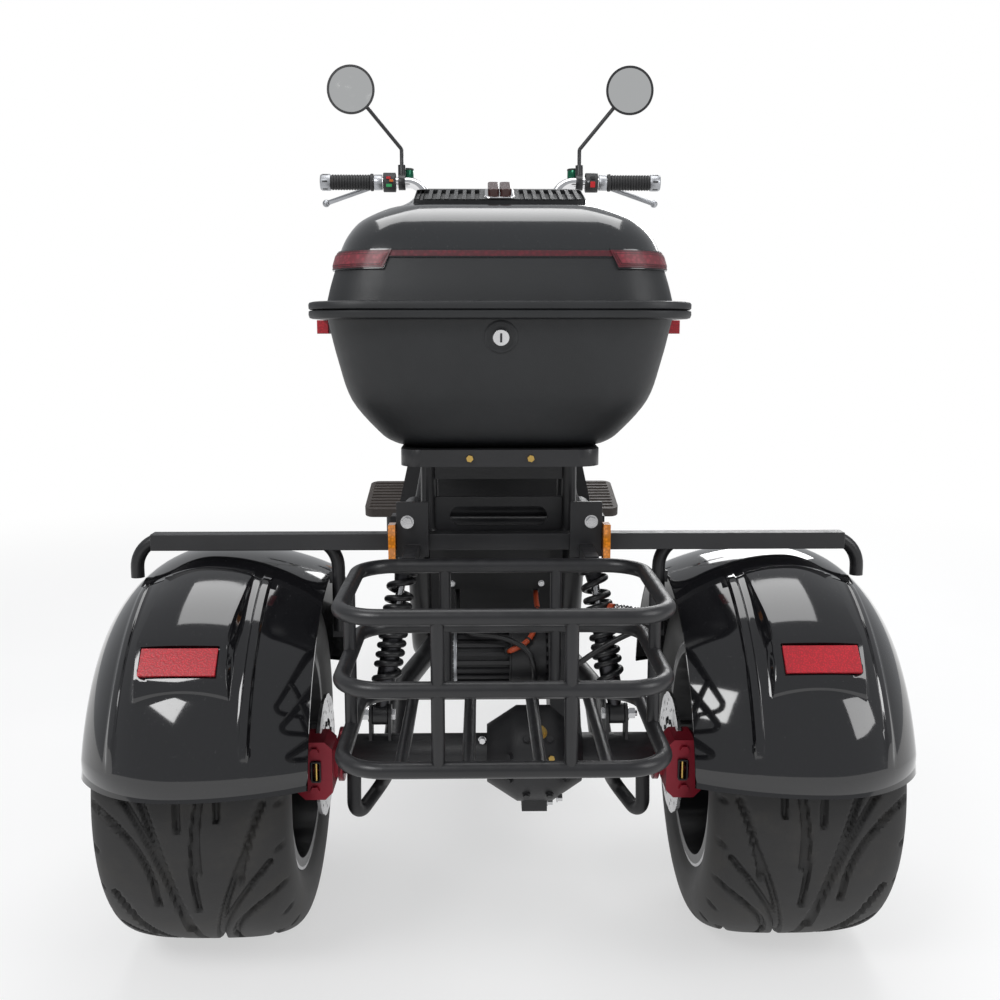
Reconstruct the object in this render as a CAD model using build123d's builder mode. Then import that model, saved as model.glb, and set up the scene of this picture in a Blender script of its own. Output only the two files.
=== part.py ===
"""Electric trike scooter: one steered front wheel, a driven rear axle with two fendered
wheels, a top box on a rack and a tube basket behind. Millimetres, +X right, +Y forward,
+Z up, origin on the ground at the middle of the machine's box."""

import os
from math import cos, radians, sin, sqrt, tan

from build123d import *

os.makedirs("parts", exist_ok=True)

# Stance
length = 1970.0
rear_overhang = 372.0
track = 690.0
tyre_radius = 218.0
tyre_width = 220.0
fender_clearance = 52.0
wheelbase = length - tyre_radius - rear_overhang
front_axle_y = length / 2 - tyre_radius
rear_axle_y = front_axle_y - wheelbase
half_track = track / 2
axle_z = tyre_radius
fender_radius = tyre_radius + fender_clearance
overrun = 5.0
body_gap = 0.3
run_clearance = 0.05
bearing_gap = 1.0

# Wheels, one design on all three hubs
bead_radius = 132.0
flange_radius = 141.0
flange_width = 4.0
barrel_wall = 6.0
spoke_count = 5
spoke_plane = 48.0
spoke_thickness = 16.0
hub_radius = 40.0
hub_proud = 6.0
shaft_radius = 14.0
shaft_inner_x = 150.0
shaft_nut_radius = 21.0
shaft_nut_length = 14.0
window_inner = 52.0
window_outer = 112.0
window_corner = 9.0
window_half_angles = (15.0, 24.0)
# columns: share of the half width, share of the section height above the bead
tyre_profile_shares = (
    (0.88, 0.00),
    (0.88, 0.13),
    (1.00, 0.48),
    (0.84, 0.86),
    (0.42, 1.00),
)

# Brakes
disc_radius = 76.0
disc_bore = 30.0
disc_thickness = 4.0
disc_hole_radius = 3.2
disc_hole_count = 15
disc_hole_rings = (48.0, 57.0, 67.0)
disc_offset = 124.0
front_disc_offset = 98.0
caliper_width = 42.0
caliper_height = 72.0
caliper_depth = 46.0
caliper_corner = 18.0
caliper_reach = 68.0
caliper_rise = 14.0
pad_slot = 2.0
bracket_radius = 34.0
bracket_thickness = 6.0
caliper_ear_up = 39.0
caliper_window_width = 12.0
caliper_window_height = 26.0
caliper_window_depth = 12.0
caliper_pin_radius = 2.0
caliper_bolt_radius = 6.0
caliper_bolt_length = 4.0
caliper_bolt_spread = 48.0

# Steering
rake = 28.0
fork_offset = 50.0
leg_x = 143.0
leg_radius = 22.0
stanchion_radius = 17.0
lower_crown_up = 430.0
crown_spread = 210.0
upper_crown_up = lower_crown_up + crown_spread
crown_thickness = 26.0
leg_top_gap = 30.0
leg_top_up = lower_crown_up - leg_top_gap
lower_leg_gap = 120.0
collar_radius = 20.0
crown_radius = 27.0
riser_ahead = 24.0
head_radius = 26.0
steerer_radius = 14.0
rake_cos = cos(radians(rake))
rake_sin = sin(radians(rake))
steer_foot_y = front_axle_y - fork_offset * rake_cos
steer_foot_z = axle_z - fork_offset * rake_sin


def along_steering(x, ahead, up):
    """A point given across, ahead of and up along the steering axis, in the part's frame."""
    return (
        x,
        steer_foot_y + ahead * rake_cos - up * rake_sin,
        steer_foot_z + ahead * rake_sin + up * rake_cos,
    )


def steering_plane(ahead, up, x=0.0):
    """A plane square to the steering axis, with its Y pointing ahead."""
    return Plane(
        origin=along_steering(x, ahead, up),
        x_dir=(1, 0, 0),
        z_dir=(0, -rake_sin, rake_cos),
    )


# Bars
bar_half_width = 360.0
bar_z = 1062.0
bar_behind = 311.0
bar_y = front_axle_y - bar_behind
bar_radius = 11.0
riser_x = 45.0
riser_radius = 13.0
clamp_size = 34.0
bar_dip = 112.0
bar_low_z = bar_z - bar_dip
bar_low_behind = 327.0
bar_low_y = front_axle_y - bar_low_behind
bar_straight_x = 158.0
bar_drop_x = 66.0
bar_bend = 40.0
perch_x = 238.0
perch_width = 16.0
perch_radius = 16.0
master_radius = 8.0
master_ahead = 30.0
lever_radius = 5.0
lever_tip_x = 356.0
lever_tip_drop = 38.0
lever_tip_ahead = 50.0
lever_ball_radius = 8.0
pod_x = 214.0
pod_width = 26.0
pod_radius = 20.0
reservoir_x = 165.0
reservoir_radius = 13.0
reservoir_height = 24.0
display_radius = 36.0
display_thickness = 20.0
display_rise = 40.0
display_z = bar_low_z + display_rise
grip_length = 112.0
grip_radius = 16.5
grip_rib_radius = 18.5
grip_rib_width = 4.5
grip_rib_count = 11

# Mirrors
mirror_x = 292.0
mirror_rise = 187.0
mirror_z = bar_z + mirror_rise
mirror_radius = 50.0
mirror_depth = 14.0
mirror_taper = 20.0
stem_radius = 4.0
stem_foot_x = 188.0
stem_knee_rise = 68.0
stem_knee_z = bar_z + stem_knee_rise
stem_base_radius = 8.0
stem_base_length = 24.0
stem_clamp_width = 14.0
glass_radius = 45.0
glass_thickness = 2.0

# Frame
rail_x = 112.0
rail_radius = 16.0
floor_z = 262.0
floor_front_behind = 427.0
floor_front_y = front_axle_y - floor_front_behind
floor_rear_ahead = 303.0
floor_rear_y = rear_axle_y + floor_rear_ahead
tail_front_ahead = 177.0
tail_front_y = rear_axle_y + tail_front_ahead
tail_rise = 24.0
tail_z = axle_z + fender_radius + tail_rise
neck_x = 85.0
neck_behind = 367.0
neck_y = front_axle_y - neck_behind
neck_z = 470.0
neck_rise = 80.0
neck_up = lower_crown_up + neck_rise
rail_bend = 60.0
cross_radius = 11.0
seat_rail_x = 88.0
seat_rail_radius = 11.0
seat_rail_rise = 84.0
seat_rail_z = tail_z + seat_rail_rise
seat_rail_front_behind = 482.0
seat_rail_front_y = front_axle_y - seat_rail_front_behind
seat_rail_rear_ahead = 173.0
seat_rail_rear_y = rear_axle_y + seat_rail_rear_ahead
stay_radius = 10.0

# Battery case and seat
case_front_behind = 517.0
case_front_y = front_axle_y - case_front_behind
case_rear_ahead = 351.0
case_rear_y = rear_axle_y + case_rear_ahead
case_bottom_z = floor_z + cross_radius + body_gap
case_top_rise = 68.0
case_top_z = tail_z + case_top_rise
case_edge = 14.0
# columns: half width, height
case_outline = (
    (86.0, case_bottom_z),
    (158.0, 402.0),
    (151.0, 476.0),
    (128.0, case_top_z),
)
seat_length = 462.0
seat_rear_ahead = 221.0
seat_rear_y = rear_axle_y + seat_rear_ahead
seat_mid_y = seat_rear_y + seat_length / 2
seat_half_width = 150.0
seat_pan_thickness = 12.0
seat_height = 92.0
seat_corner = 60.0
seat_edge = 22.0

# Footboards
foot_inner_x = 166.0
foot_outer_x = 262.0
foot_front_behind = 317.0
foot_front_y = front_axle_y - foot_front_behind
foot_rear_behind = 487.0
foot_rear_y = front_axle_y - foot_rear_behind
foot_z = 398.0
foot_thickness = 18.0
foot_rise = 12.0

# Rear axle and drive
axle_tube_radius = 25.0
axle_tube_inset = 149.0
axle_tube_end = half_track - axle_tube_inset
gear_x = 45.0
banjo_half_width = 60.0
banjo_flat = 22.0
banjo_radius = 60.0
banjo_end_radius = 36.0
gear_case_radius = 50.0
gear_case_thickness = 38.0
block_width = 32.0
block_length = 48.0
block_bottom_drop = 69.0
block_bottom_z = axle_z - block_bottom_drop
motor_ahead = 92.0
motor_y = rear_axle_y + motor_ahead
motor_rise = 104.0
motor_z = axle_z + motor_rise
motor_radius = 44.0
motor_left = -84.0
motor_right = 66.0
motor_flange = 26.0
motor_fin = 5.0
motor_fin_count = 24
pivot_ahead = 283.0
pivot_y = rear_axle_y + pivot_ahead
pivot_rise = 82.0
pivot_z = axle_z + pivot_rise
arm_front_x = 76.0
arm_rear_x = 135.0
arm_radius = 15.0
arm_drop = 8.0
pivot_radius = 17.0
guard_loop_radius = 9.0
guard_loop_inset = 11.0
guard_loop_x = axle_tube_end - guard_loop_inset
guard_loop_drop = 86.0
guard_loop_z = axle_z - guard_loop_drop
guard_loop_bend = 16.0
guard_loop_inward = 30.0
guard_loop_front_ahead = 48.0
guard_loop_front_y = rear_axle_y + guard_loop_front_ahead
guard_loop_front_rise = 24.0
guard_loop_front_z = guard_loop_z + guard_loop_front_rise

# Controller
controller_half_width = 75.0
controller_depth = 58.0
controller_height = 110.0
controller_ahead = 205.0
controller_y = rear_axle_y + controller_ahead
controller_edge = 6.0
controller_ear_drop = 56.0
controller_ear_z = tail_z - controller_ear_drop

# Shock absorbers
shock_top_x = 117.0
shock_top_ahead = 53.0
shock_top_y = rear_axle_y + shock_top_ahead
shock_top_drop = 34.0
shock_top_z = tail_z - shock_top_drop
shock_foot_x = 150.0
shock_foot_rise = 52.0
shock_foot_z = axle_z + shock_foot_rise
shock_eye_radius = 13.0
shock_eye_width = 20.0
shock_plate = 3.7
damper_radius = 9.5
shock_neck = 18.0
shock_neck_radius = 6.5
spring_start = 34.0
spring_end_gap = 40.0
spring_radius = 19.0
spring_wire = 4.0
spring_turns = 10
spring_seat = 4.0
spring_seat_radius = 21.0

# Fenders
fender_wall = 4.0
fender_inner_reach = 138.0
fender_shoulder_reach = 114.0
fender_skirt_reach = 122.0
fender_inner_drop = 30.0
fender_shoulder_drop = 65.0
fender_skirt_drop = 98.0
fender_inner_x = half_track - fender_inner_reach
fender_inner_radius = fender_radius - fender_inner_drop
fender_cut_rise = 50.0
fender_cut_z = axle_z + fender_cut_rise
ridge_radius = 2.5
# columns: reach outward from the fender's middle, lower end and sweep in degrees
fender_ridges = (
    (-75.0, 18.0, 54.0),
    (72.0, 20.0, 58.0),
)
panel_lift = 2.5
panel_angle = 20.0
panel_sweep = 66.0
panel_corner = 10.0
# columns: reach outward from the fender's middle, height above the reflector's middle
panel_outline = (
    (-55.0, -40.0),
    (45.0, -40.0),
    (51.0, 10.0),
    (48.0, 150.0),
    (-72.0, 150.0),
    (-66.0, 10.0),
)
reflector_width = 82.0
reflector_height = 32.0
reflector_angle = 42.0
reflector_thickness = 4.0
reflector_lift = 3.0
reflector_seat = fender_radius + reflector_lift
reflector_rim = 5.0
reflector_lip = 2.0

# Guard rail
guard_behind = 43.0
guard_y = rear_axle_y - guard_behind
guard_rise = 15.0
guard_z = axle_z + fender_radius + guard_rise
guard_side = 20.0
guard_reach = 70.0
guard_half_width = half_track + guard_reach
hoop_inner_drop = 115.0
hoop_inner_z = guard_z - hoop_inner_drop
hoop_foot_drop = 31.5
hoop_foot_radius = fender_radius - hoop_foot_drop
hoop_lug = 14.0
hoop_radius = 8.0
hoop_reach = 95.0
hoop_outer_x = half_track + hoop_reach
hoop_inner_x = axle_tube_end
hoop_bend = 36.0

# Basket
basket_rear_y = rear_axle_y - rear_overhang
basket_front_behind = 133.0
basket_front_y = rear_axle_y - basket_front_behind
basket_half_width = 164.0
basket_ring_radius = 8.0
basket_bar_radius = 6.5
basket_corner = 42.0
basket_ring_drops = (157.0, 79.0, 10.0)
basket_ring_z = tuple(guard_z - drop for drop in basket_ring_drops)
basket_upright_x = 62.0
basket_floor_x = (34.0, 98.0)

# Rear brackets and rack
plate_inner_x = 84.0
plate_outer_x = 122.0
plate_drop = 17.0
plate_rise = 49.0
plate_bottom_z = guard_z - plate_drop
plate_top_z = guard_z + plate_rise
plate_thickness = 6.0
rack_post_radius = 9.0
rack_half_width = 112.0
rack_hoop_drop = 12.0
rack_hoop_z = tail_z - rack_hoop_drop
rack_hoop_bend = 12.0
rack_corner = 24.0
rack_front_ahead = 93.0
rack_front_y = rear_axle_y + rack_front_ahead
rack_rear_y = rear_axle_y
rack_web_height = 30.0
rack_web_thickness = 5.0
slot_length = 120.0
slot_width = 24.0
slot_rise = 14.0
slot_z = tail_z + slot_rise
rack_half_length = 130.0
rack_rise = 90.0
rack_thickness = 19.0
rack_bottom_z = tail_z + rack_rise
rack_top_z = rack_bottom_z + rack_thickness

bolt_tab = 16.0
lamp_width = 8.5
lamp_depth = 20.0
lamp_rise = 24.0
lamp_drop = 25.0
lamp_top_z = guard_z + lamp_rise
lamp_bottom_z = guard_z - lamp_drop

# Front lamps and fender
headlight_radius = 72.0
headlight_back_behind = 261.0
headlight_back_y = front_axle_y - headlight_back_behind
headlight_length = 96.0
headlight_rise = 38.2
headlight_z = steer_foot_z + (upper_crown_up + lower_crown_up) / 2 * rake_cos + headlight_rise
headlight_wall = 4.0
headlight_back_share = 0.55
lens_thickness = 6.0
ear_radius = 24.0
ear_width = 22.0
turn_lamp_radius = 16.0
turn_lamp_length = 34.0
turn_lamp_x = 186.0
turn_stem_radius = 6.0
turn_lamp_rise = 50.0
turn_lamp_up = lower_crown_up + turn_lamp_rise
front_fender_clearance = 20.0
front_fender_edge_clearance = 8.0
front_fender_radius = tyre_radius + front_fender_clearance
front_fender_edge_radius = tyre_radius + front_fender_edge_clearance
front_fender_half_width = 104.0
front_fender_flat = 66.0
front_fender_wall = 3.0
front_fender_rear = 52.0
front_fender_arc = 114.0
front_stay_rise = 4.0
front_stay_up = front_fender_edge_radius + front_stay_rise
front_stay_width = 25.0
front_stay_length = 36.0
front_stay_thickness = 6.0

# Top box
box_ahead = 5.0
box_y = rear_axle_y + box_ahead
box_wall = 3.5
tub_height = 153.0
seam_z = rack_top_z + tub_height
seam_gap = 0.5
band_height = 9.0
band_half_width = 209.0
band_half_length = 195.0
band_corner = 70.0
hinge_x = 110.0
hinge_radius = 7.0
hinge_pin_radius = 3.0
hinge_ear_width = 10.0
hinge_knuckle_width = 24.0
hinge_pitch = 18.0
lid_lamp_rises = (54.0, 63.5)
lid_lamp_lift = 2.0
lid_lamp_front = 50.0
end_lamp_rises = (42.0, 64.0)
end_lamp_lift = 3.5
end_lamp_inner_x = 112.0
end_lamp_slant = 12.0
rib_width = 5.0
rib_length = 68.0
rib_height = 2.4
rib_root = 1.5
rib_pitch = 10.5
rib_count = 7
rib_group_x = 60.0
handle_width = 34.0
handle_length = 60.0
handle_height = 12.0
lock_drop = 28.0
lock_z = seam_z - lock_drop
lock_plate = 36.0
lock_plate_thickness = 3.0
lock_radius = 9.0
lock_proud = 4.0
latch_x = 208.0
latch_width = 14.0
latch_length = 60.0
latch_height = 16.0
# columns: height above the rack, half width, half length, corner radius, shift forward
box_sections = (
    (0.0, 108.0, 100.0, 40.0, 0.0),
    (16.0, 136.0, 128.0, 52.0, 0.0),
    (54.0, 168.0, 158.0, 62.0, 0.0),
    (144.0, 190.0, 180.0, 66.0, 0.0),
)
# columns: height above the seam, half width, half length, corner radius, shift forward
lid_sections = (
    (9.0, 190.0, 180.0, 66.0, 0.0),
    (40.0, 182.0, 174.0, 63.0, 1.5),
    (82.0, 167.0, 161.0, 58.0, 5.0),
    (98.0, 153.0, 151.0, 53.0, 9.0),
    (111.0, 130.0, 136.0, 46.0, 15.0),
    (116.5, 113.0, 124.0, 40.0, 21.0),
    (137.5, 92.0, 66.0, 29.0, 43.0),
)

# Cables, each along points given across, forward of the axle and above it
cable_radius = 3.6
cable_bend = 11.0
cable_routes = (
    (
        (12.0, 50.5, 119.4),
        (15.0, 38.0, 122.0),
        (44.0, 50.0, 134.0),
        (55.0, 92.0, 160.0),
        (56.0, 198.0, 154.0),
        (56.0, 198.0, 172.4),
    ),
    (
        (-56.0, 198.0, 172.4),
        (-56.0, 198.0, 157.0),
        (-53.0, 75.0, 155.0),
        (-46.0, 50.0, 143.0),
        (6.0, 44.0, 141.0),
        (38.0, 34.0, 128.0),
        (47.0, 30.0, 104.0),
        (48.0, 45.5, 79.0),
        (48.0, 30.2, 52.3),
    ),
    (
        (187.6, -25.0, 170.0),
        (168.0, -25.0, 170.0),
        (92.0, -20.0, 121.0),
        (88.0, -4.5, 96.5),
        (88.0, 15.0, 78.1),
    ),
)


def save(builder, name):
    """Labels a finished piece and writes it as its own node."""
    builder.part.label = name
    export_step(builder.part, f"parts/{name}.step")


def tube(points, bend, radius):
    """Adds a round bar along the points, bent at each corner, to the open piece."""
    with BuildLine() as path:
        if len(points) > 2:
            FilletPolyline(*points, radius=bend)
        else:
            Line(*points)
    with BuildSketch(Plane(origin=path.line @ 0, z_dir=path.line % 0)) as section:
        Circle(radius)
    sweep(sections=section.sketch, path=path.line)


def rounded_loft(sections, centre_y, base_z, inset, mode):
    """Lofts rounded rectangles from a table of heights, half sizes, corners and shifts."""
    slices = []
    for height, half_width, half_length, corner, shift in sections:
        with BuildSketch(Plane((0, centre_y + shift, base_z + height))) as outline:
            RectangleRounded(
                2 * (half_width - inset), 2 * (half_length - inset), corner - inset
            )
        slices.append(outline.sketch)
    loft(sections=slices, ruled=True, mode=mode)


def reflector_plane(side):
    """A plane through the axle, square to the fender's surface where the reflector sits."""
    lift = radians(reflector_angle)
    return Plane(
        origin=(side * half_track, rear_axle_y, axle_z),
        x_dir=(1, 0, 0),
        z_dir=(0, -cos(lift), sin(lift)),
    )


def fender_plane(angle):
    """A plane through the rear axle whose Y points out at an angle above straight behind."""
    lift = radians(angle)
    return Plane(
        origin=(0, rear_axle_y, axle_z),
        x_dir=(1, 0, 0),
        z_dir=(0, -sin(lift), -cos(lift)),
    )


def fender_section(side, outer_inset, inner_inset, angle):
    """The face between two insets of the fender's outline, arcs from its crown to each edge."""
    with BuildSketch(fender_plane(angle)) as section:
        with BuildLine():
            rims = []
            for inset in (outer_inset, inner_inset):
                crown = (side * half_track, fender_radius - inset)
                shoulder = (
                    side * (half_track + fender_shoulder_reach - inset),
                    fender_radius - fender_shoulder_drop - inset / 2,
                )
                skirt_end = (
                    side * (half_track + fender_skirt_reach - inset),
                    fender_radius - fender_skirt_drop,
                )
                inner_end = (side * fender_inner_x, fender_inner_radius - inset)
                outer = TangentArc(crown, shoulder, tangent=(side, 0))
                skirt = TangentArc(outer @ 1, skirt_end, tangent=outer % 1)
                inner = TangentArc(crown, inner_end, tangent=(-side, 0))
                rims.append((skirt @ 1, inner @ 1))
            Line(rims[0][0], rims[1][0])
            Line(rims[0][1], rims[1][1])
        make_face()
    return section.sketch


def fender_surface(reach):
    """The fender's outer radius at a reach from its middle, positive outward."""
    span = fender_shoulder_reach if reach > 0 else fender_inner_reach
    drop = fender_shoulder_drop if reach > 0 else fender_inner_drop
    bow = (span**2 + drop**2) / (2 * drop)
    return fender_radius - bow + sqrt(bow**2 - reach**2)


def mirrored(points, side):
    """The same points on the right (1) or left (-1) side."""
    return [(side * x, y, z) for x, y, z in points]


# Wheels
# columns: end, name, wheel centre x, wheel centre y, side that the spokes face, disc offset
wheels = (
    ("rear", "_left", -half_track, rear_axle_y, -1, disc_offset),
    ("rear", "_right", half_track, rear_axle_y, 1, disc_offset),
    ("front", "", 0.0, front_axle_y, 1, front_disc_offset),
)
half_tyre = tyre_width / 2
hub_outer = spoke_plane + spoke_thickness + hub_proud
tyre_section = tyre_radius - bead_radius
seat_half = half_tyre * tyre_profile_shares[0][0]
barrel_inner = bead_radius - barrel_wall

for end, suffix, wheel_x, wheel_y, side, disc_place in wheels:
    hub_plane = Plane(origin=(wheel_x, wheel_y, axle_z), x_dir=(0, side, 0), z_dir=(side, 0, 0))
    section_plane = Plane(origin=(wheel_x, wheel_y, axle_z), x_dir=(side, 0, 0), z_dir=(0, -side, 0))

    with BuildPart() as tyre:
        with BuildSketch(section_plane):
            with BuildLine():
                half = [
                    (half_tyre * across, bead_radius + tyre_section * up)
                    for across, up in tyre_profile_shares
                ]
                Polyline(*half, *[(-x, r) for x, r in reversed(half)], close=True)
            make_face()
        revolve(axis=Axis(hub_plane.origin, hub_plane.z_dir))
    save(tyre, f"{end}_tyre{suffix}")

    with BuildPart() as rim:
        with BuildSketch(section_plane):
            with BuildLine():
                Polyline(
                    (-seat_half - body_gap - flange_width, flange_radius),
                    (-seat_half - body_gap, flange_radius),
                    (-seat_half - body_gap, bead_radius - body_gap),
                    (seat_half + body_gap, bead_radius - body_gap),
                    (seat_half + body_gap, flange_radius),
                    (seat_half + body_gap + flange_width, flange_radius),
                    (seat_half + body_gap + flange_width, barrel_inner),
                    (-seat_half - body_gap - flange_width, barrel_inner),
                    close=True,
                )
            make_face()
        revolve(axis=Axis(hub_plane.origin, hub_plane.z_dir))
        with BuildSketch(hub_plane.offset(spoke_plane)):
            Circle(barrel_inner + barrel_wall / 2)
        extrude(amount=spoke_thickness)
        with BuildSketch(hub_plane.offset(spoke_plane - overrun)) as windows:
            with PolarLocations(0, spoke_count):
                with BuildLine():
                    Polyline(
                        *[
                            (radius * cos(radians(angle)), radius * sin(radians(angle)))
                            for radius, angle in (
                                (window_inner, -window_half_angles[0]),
                                (window_outer, -window_half_angles[1]),
                                (window_outer, window_half_angles[1]),
                                (window_inner, window_half_angles[0]),
                            )
                        ],
                        close=True,
                    )
                make_face()
            fillet(windows.vertices(), window_corner)
        extrude(amount=spoke_thickness + 2 * overrun, mode=Mode.SUBTRACT)
        with BuildSketch(hub_plane.offset(hub_outer)):
            Circle(hub_radius)
        extrude(amount=-hub_outer - disc_place + disc_thickness / 2)
        with BuildSketch(hub_plane.offset(hub_outer + overrun)):
            Circle(shaft_radius + run_clearance)
        extrude(amount=-hub_outer - disc_place - 2 * overrun, mode=Mode.SUBTRACT)
    save(rim, f"{end}_rim{suffix}")

    with BuildPart() as disc:
        with BuildSketch(hub_plane.offset(-disc_place - disc_thickness / 2)):
            Circle(disc_radius)
            Circle(disc_bore, mode=Mode.SUBTRACT)
            for turn, ring in enumerate(disc_hole_rings):
                with PolarLocations(ring, disc_hole_count, start_angle=turn * 360 / disc_hole_count / 3):
                    Circle(disc_hole_radius, mode=Mode.SUBTRACT)
        extrude(amount=disc_thickness)
    save(disc, f"{end}_disc{suffix}")

    if end == "rear":
        with BuildPart() as shaft:
            with BuildSketch(hub_plane.offset(hub_outer + shaft_nut_length)):
                Circle(shaft_radius)
            extrude(amount=-hub_outer - shaft_nut_length - half_track + shaft_inner_x)
            with BuildSketch(hub_plane.offset(hub_outer)):
                RegularPolygon(shaft_nut_radius, 6)
            extrude(amount=shaft_nut_length)
        save(shaft, f"rear_shaft{suffix}")

# Rear brakes
disc_x = half_track - disc_offset
caliper_y = rear_axle_y - caliper_reach
caliper_z = axle_z + caliper_rise
bracket_x = axle_tube_end + body_gap

with BuildPart() as rear_calipers:
    for side in (-1, 1):
        caliper_plane = Plane((side * disc_x, caliper_y, caliper_z), x_dir=(1, 0, 0), z_dir=(0, -1, 0))
        with BuildSketch(caliper_plane) as outline:
            Rectangle(caliper_width, caliper_height)
            chamfer(outline.vertices(), caliper_corner / 2)
        extrude(amount=caliper_depth / 2, both=True)
        with BuildSketch(caliper_plane.offset(caliper_depth / 2)):
            RectangleRounded(caliper_window_width, caliper_window_height, caliper_window_width / 3)
        extrude(amount=-caliper_window_depth, mode=Mode.SUBTRACT)
        with Locations((side * disc_x, caliper_y - (caliper_depth - caliper_window_depth) / 2, caliper_z)):
            Cylinder(caliper_pin_radius, caliper_window_width + overrun, rotation=(0, 90, 0))
        with BuildSketch(caliper_plane.offset(caliper_depth / 2)):
            with GridLocations(0, caliper_bolt_spread, 1, 2):
                RegularPolygon(caliper_bolt_radius, 6)
        extrude(amount=caliper_bolt_length)
        bracket_plane = Plane((side * bracket_x, rear_axle_y, axle_z), x_dir=(0, side, 0), z_dir=(side, 0, 0))
        with BuildSketch(bracket_plane):
            Circle(bracket_radius)
            with Locations((-side * caliper_reach / 2, caliper_rise)):
                Rectangle(caliper_reach, bracket_radius)
            Circle(shaft_radius + bearing_gap, mode=Mode.SUBTRACT)
        extrude(amount=bracket_thickness)
        with Locations((side * disc_x, rear_axle_y, axle_z)):
            Cylinder(
                disc_radius + pad_slot,
                disc_thickness + 2 * pad_slot,
                rotation=(0, 90, 0),
                mode=Mode.SUBTRACT,
            )
save(rear_calipers, "rear_calipers")

# Fenders, each with a raised panel between two ridges and a flat seat for its reflector
wheel_axis = Axis((0, rear_axle_y, axle_z), (-1, 0, 0))
for side, suffix in ((-1, "_left"), (1, "_right")):
    with BuildPart(mode=Mode.PRIVATE) as panel:
        revolve(
            profiles=fender_section(side, -panel_lift, fender_wall / 2, panel_angle),
            axis=wheel_axis,
            revolution_arc=panel_sweep,
        )
        with BuildSketch(reflector_plane(side)) as outline:
            with BuildLine():
                Polyline(*[(side * reach, height) for reach, height in panel_outline], close=True)
            make_face()
            fillet(outline.vertices(), panel_corner)
        extrude(amount=2 * fender_radius, mode=Mode.INTERSECT)
    with BuildPart() as fender:
        revolve(profiles=fender_section(side, 0, fender_wall, 90), axis=wheel_axis)
        with Locations((side * half_track, rear_axle_y, fender_cut_z)):
            Box(
                2 * (half_track - fender_inner_x + overrun),
                2 * (fender_radius + overrun),
                2 * fender_radius,
                align=(Align.CENTER, Align.CENTER, Align.MAX),
                mode=Mode.SUBTRACT,
            )
        add(panel.part)
        for reach, low_angle, sweep_angle in fender_ridges:
            with BuildSketch(fender_plane(low_angle)):
                with Locations((side * (half_track + reach), fender_surface(reach))):
                    Circle(ridge_radius)
            revolve(axis=wheel_axis, revolution_arc=sweep_angle)
        with BuildSketch(reflector_plane(side).offset(reflector_seat + reflector_lip)):
            Rectangle(reflector_width + 2 * reflector_rim, reflector_height + 2 * reflector_rim)
        extrude(amount=fender_radius - fender_wall - overrun - reflector_seat - reflector_lip)
        with BuildSketch(reflector_plane(side).offset(reflector_seat)):
            Rectangle(reflector_width + 2 * body_gap, reflector_height + 2 * body_gap)
        extrude(amount=reflector_lip + overrun, mode=Mode.SUBTRACT)
    save(fender, f"fender{suffix}")

# Fender reflectors, each on a flat seat square to the fender's surface
with BuildPart() as fender_reflectors:
    for side in (-1, 1):
        with BuildSketch(reflector_plane(side).offset(reflector_seat + body_gap)):
            Rectangle(reflector_width, reflector_height)
        extrude(amount=reflector_thickness)
save(fender_reflectors, "fender_reflectors")

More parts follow.
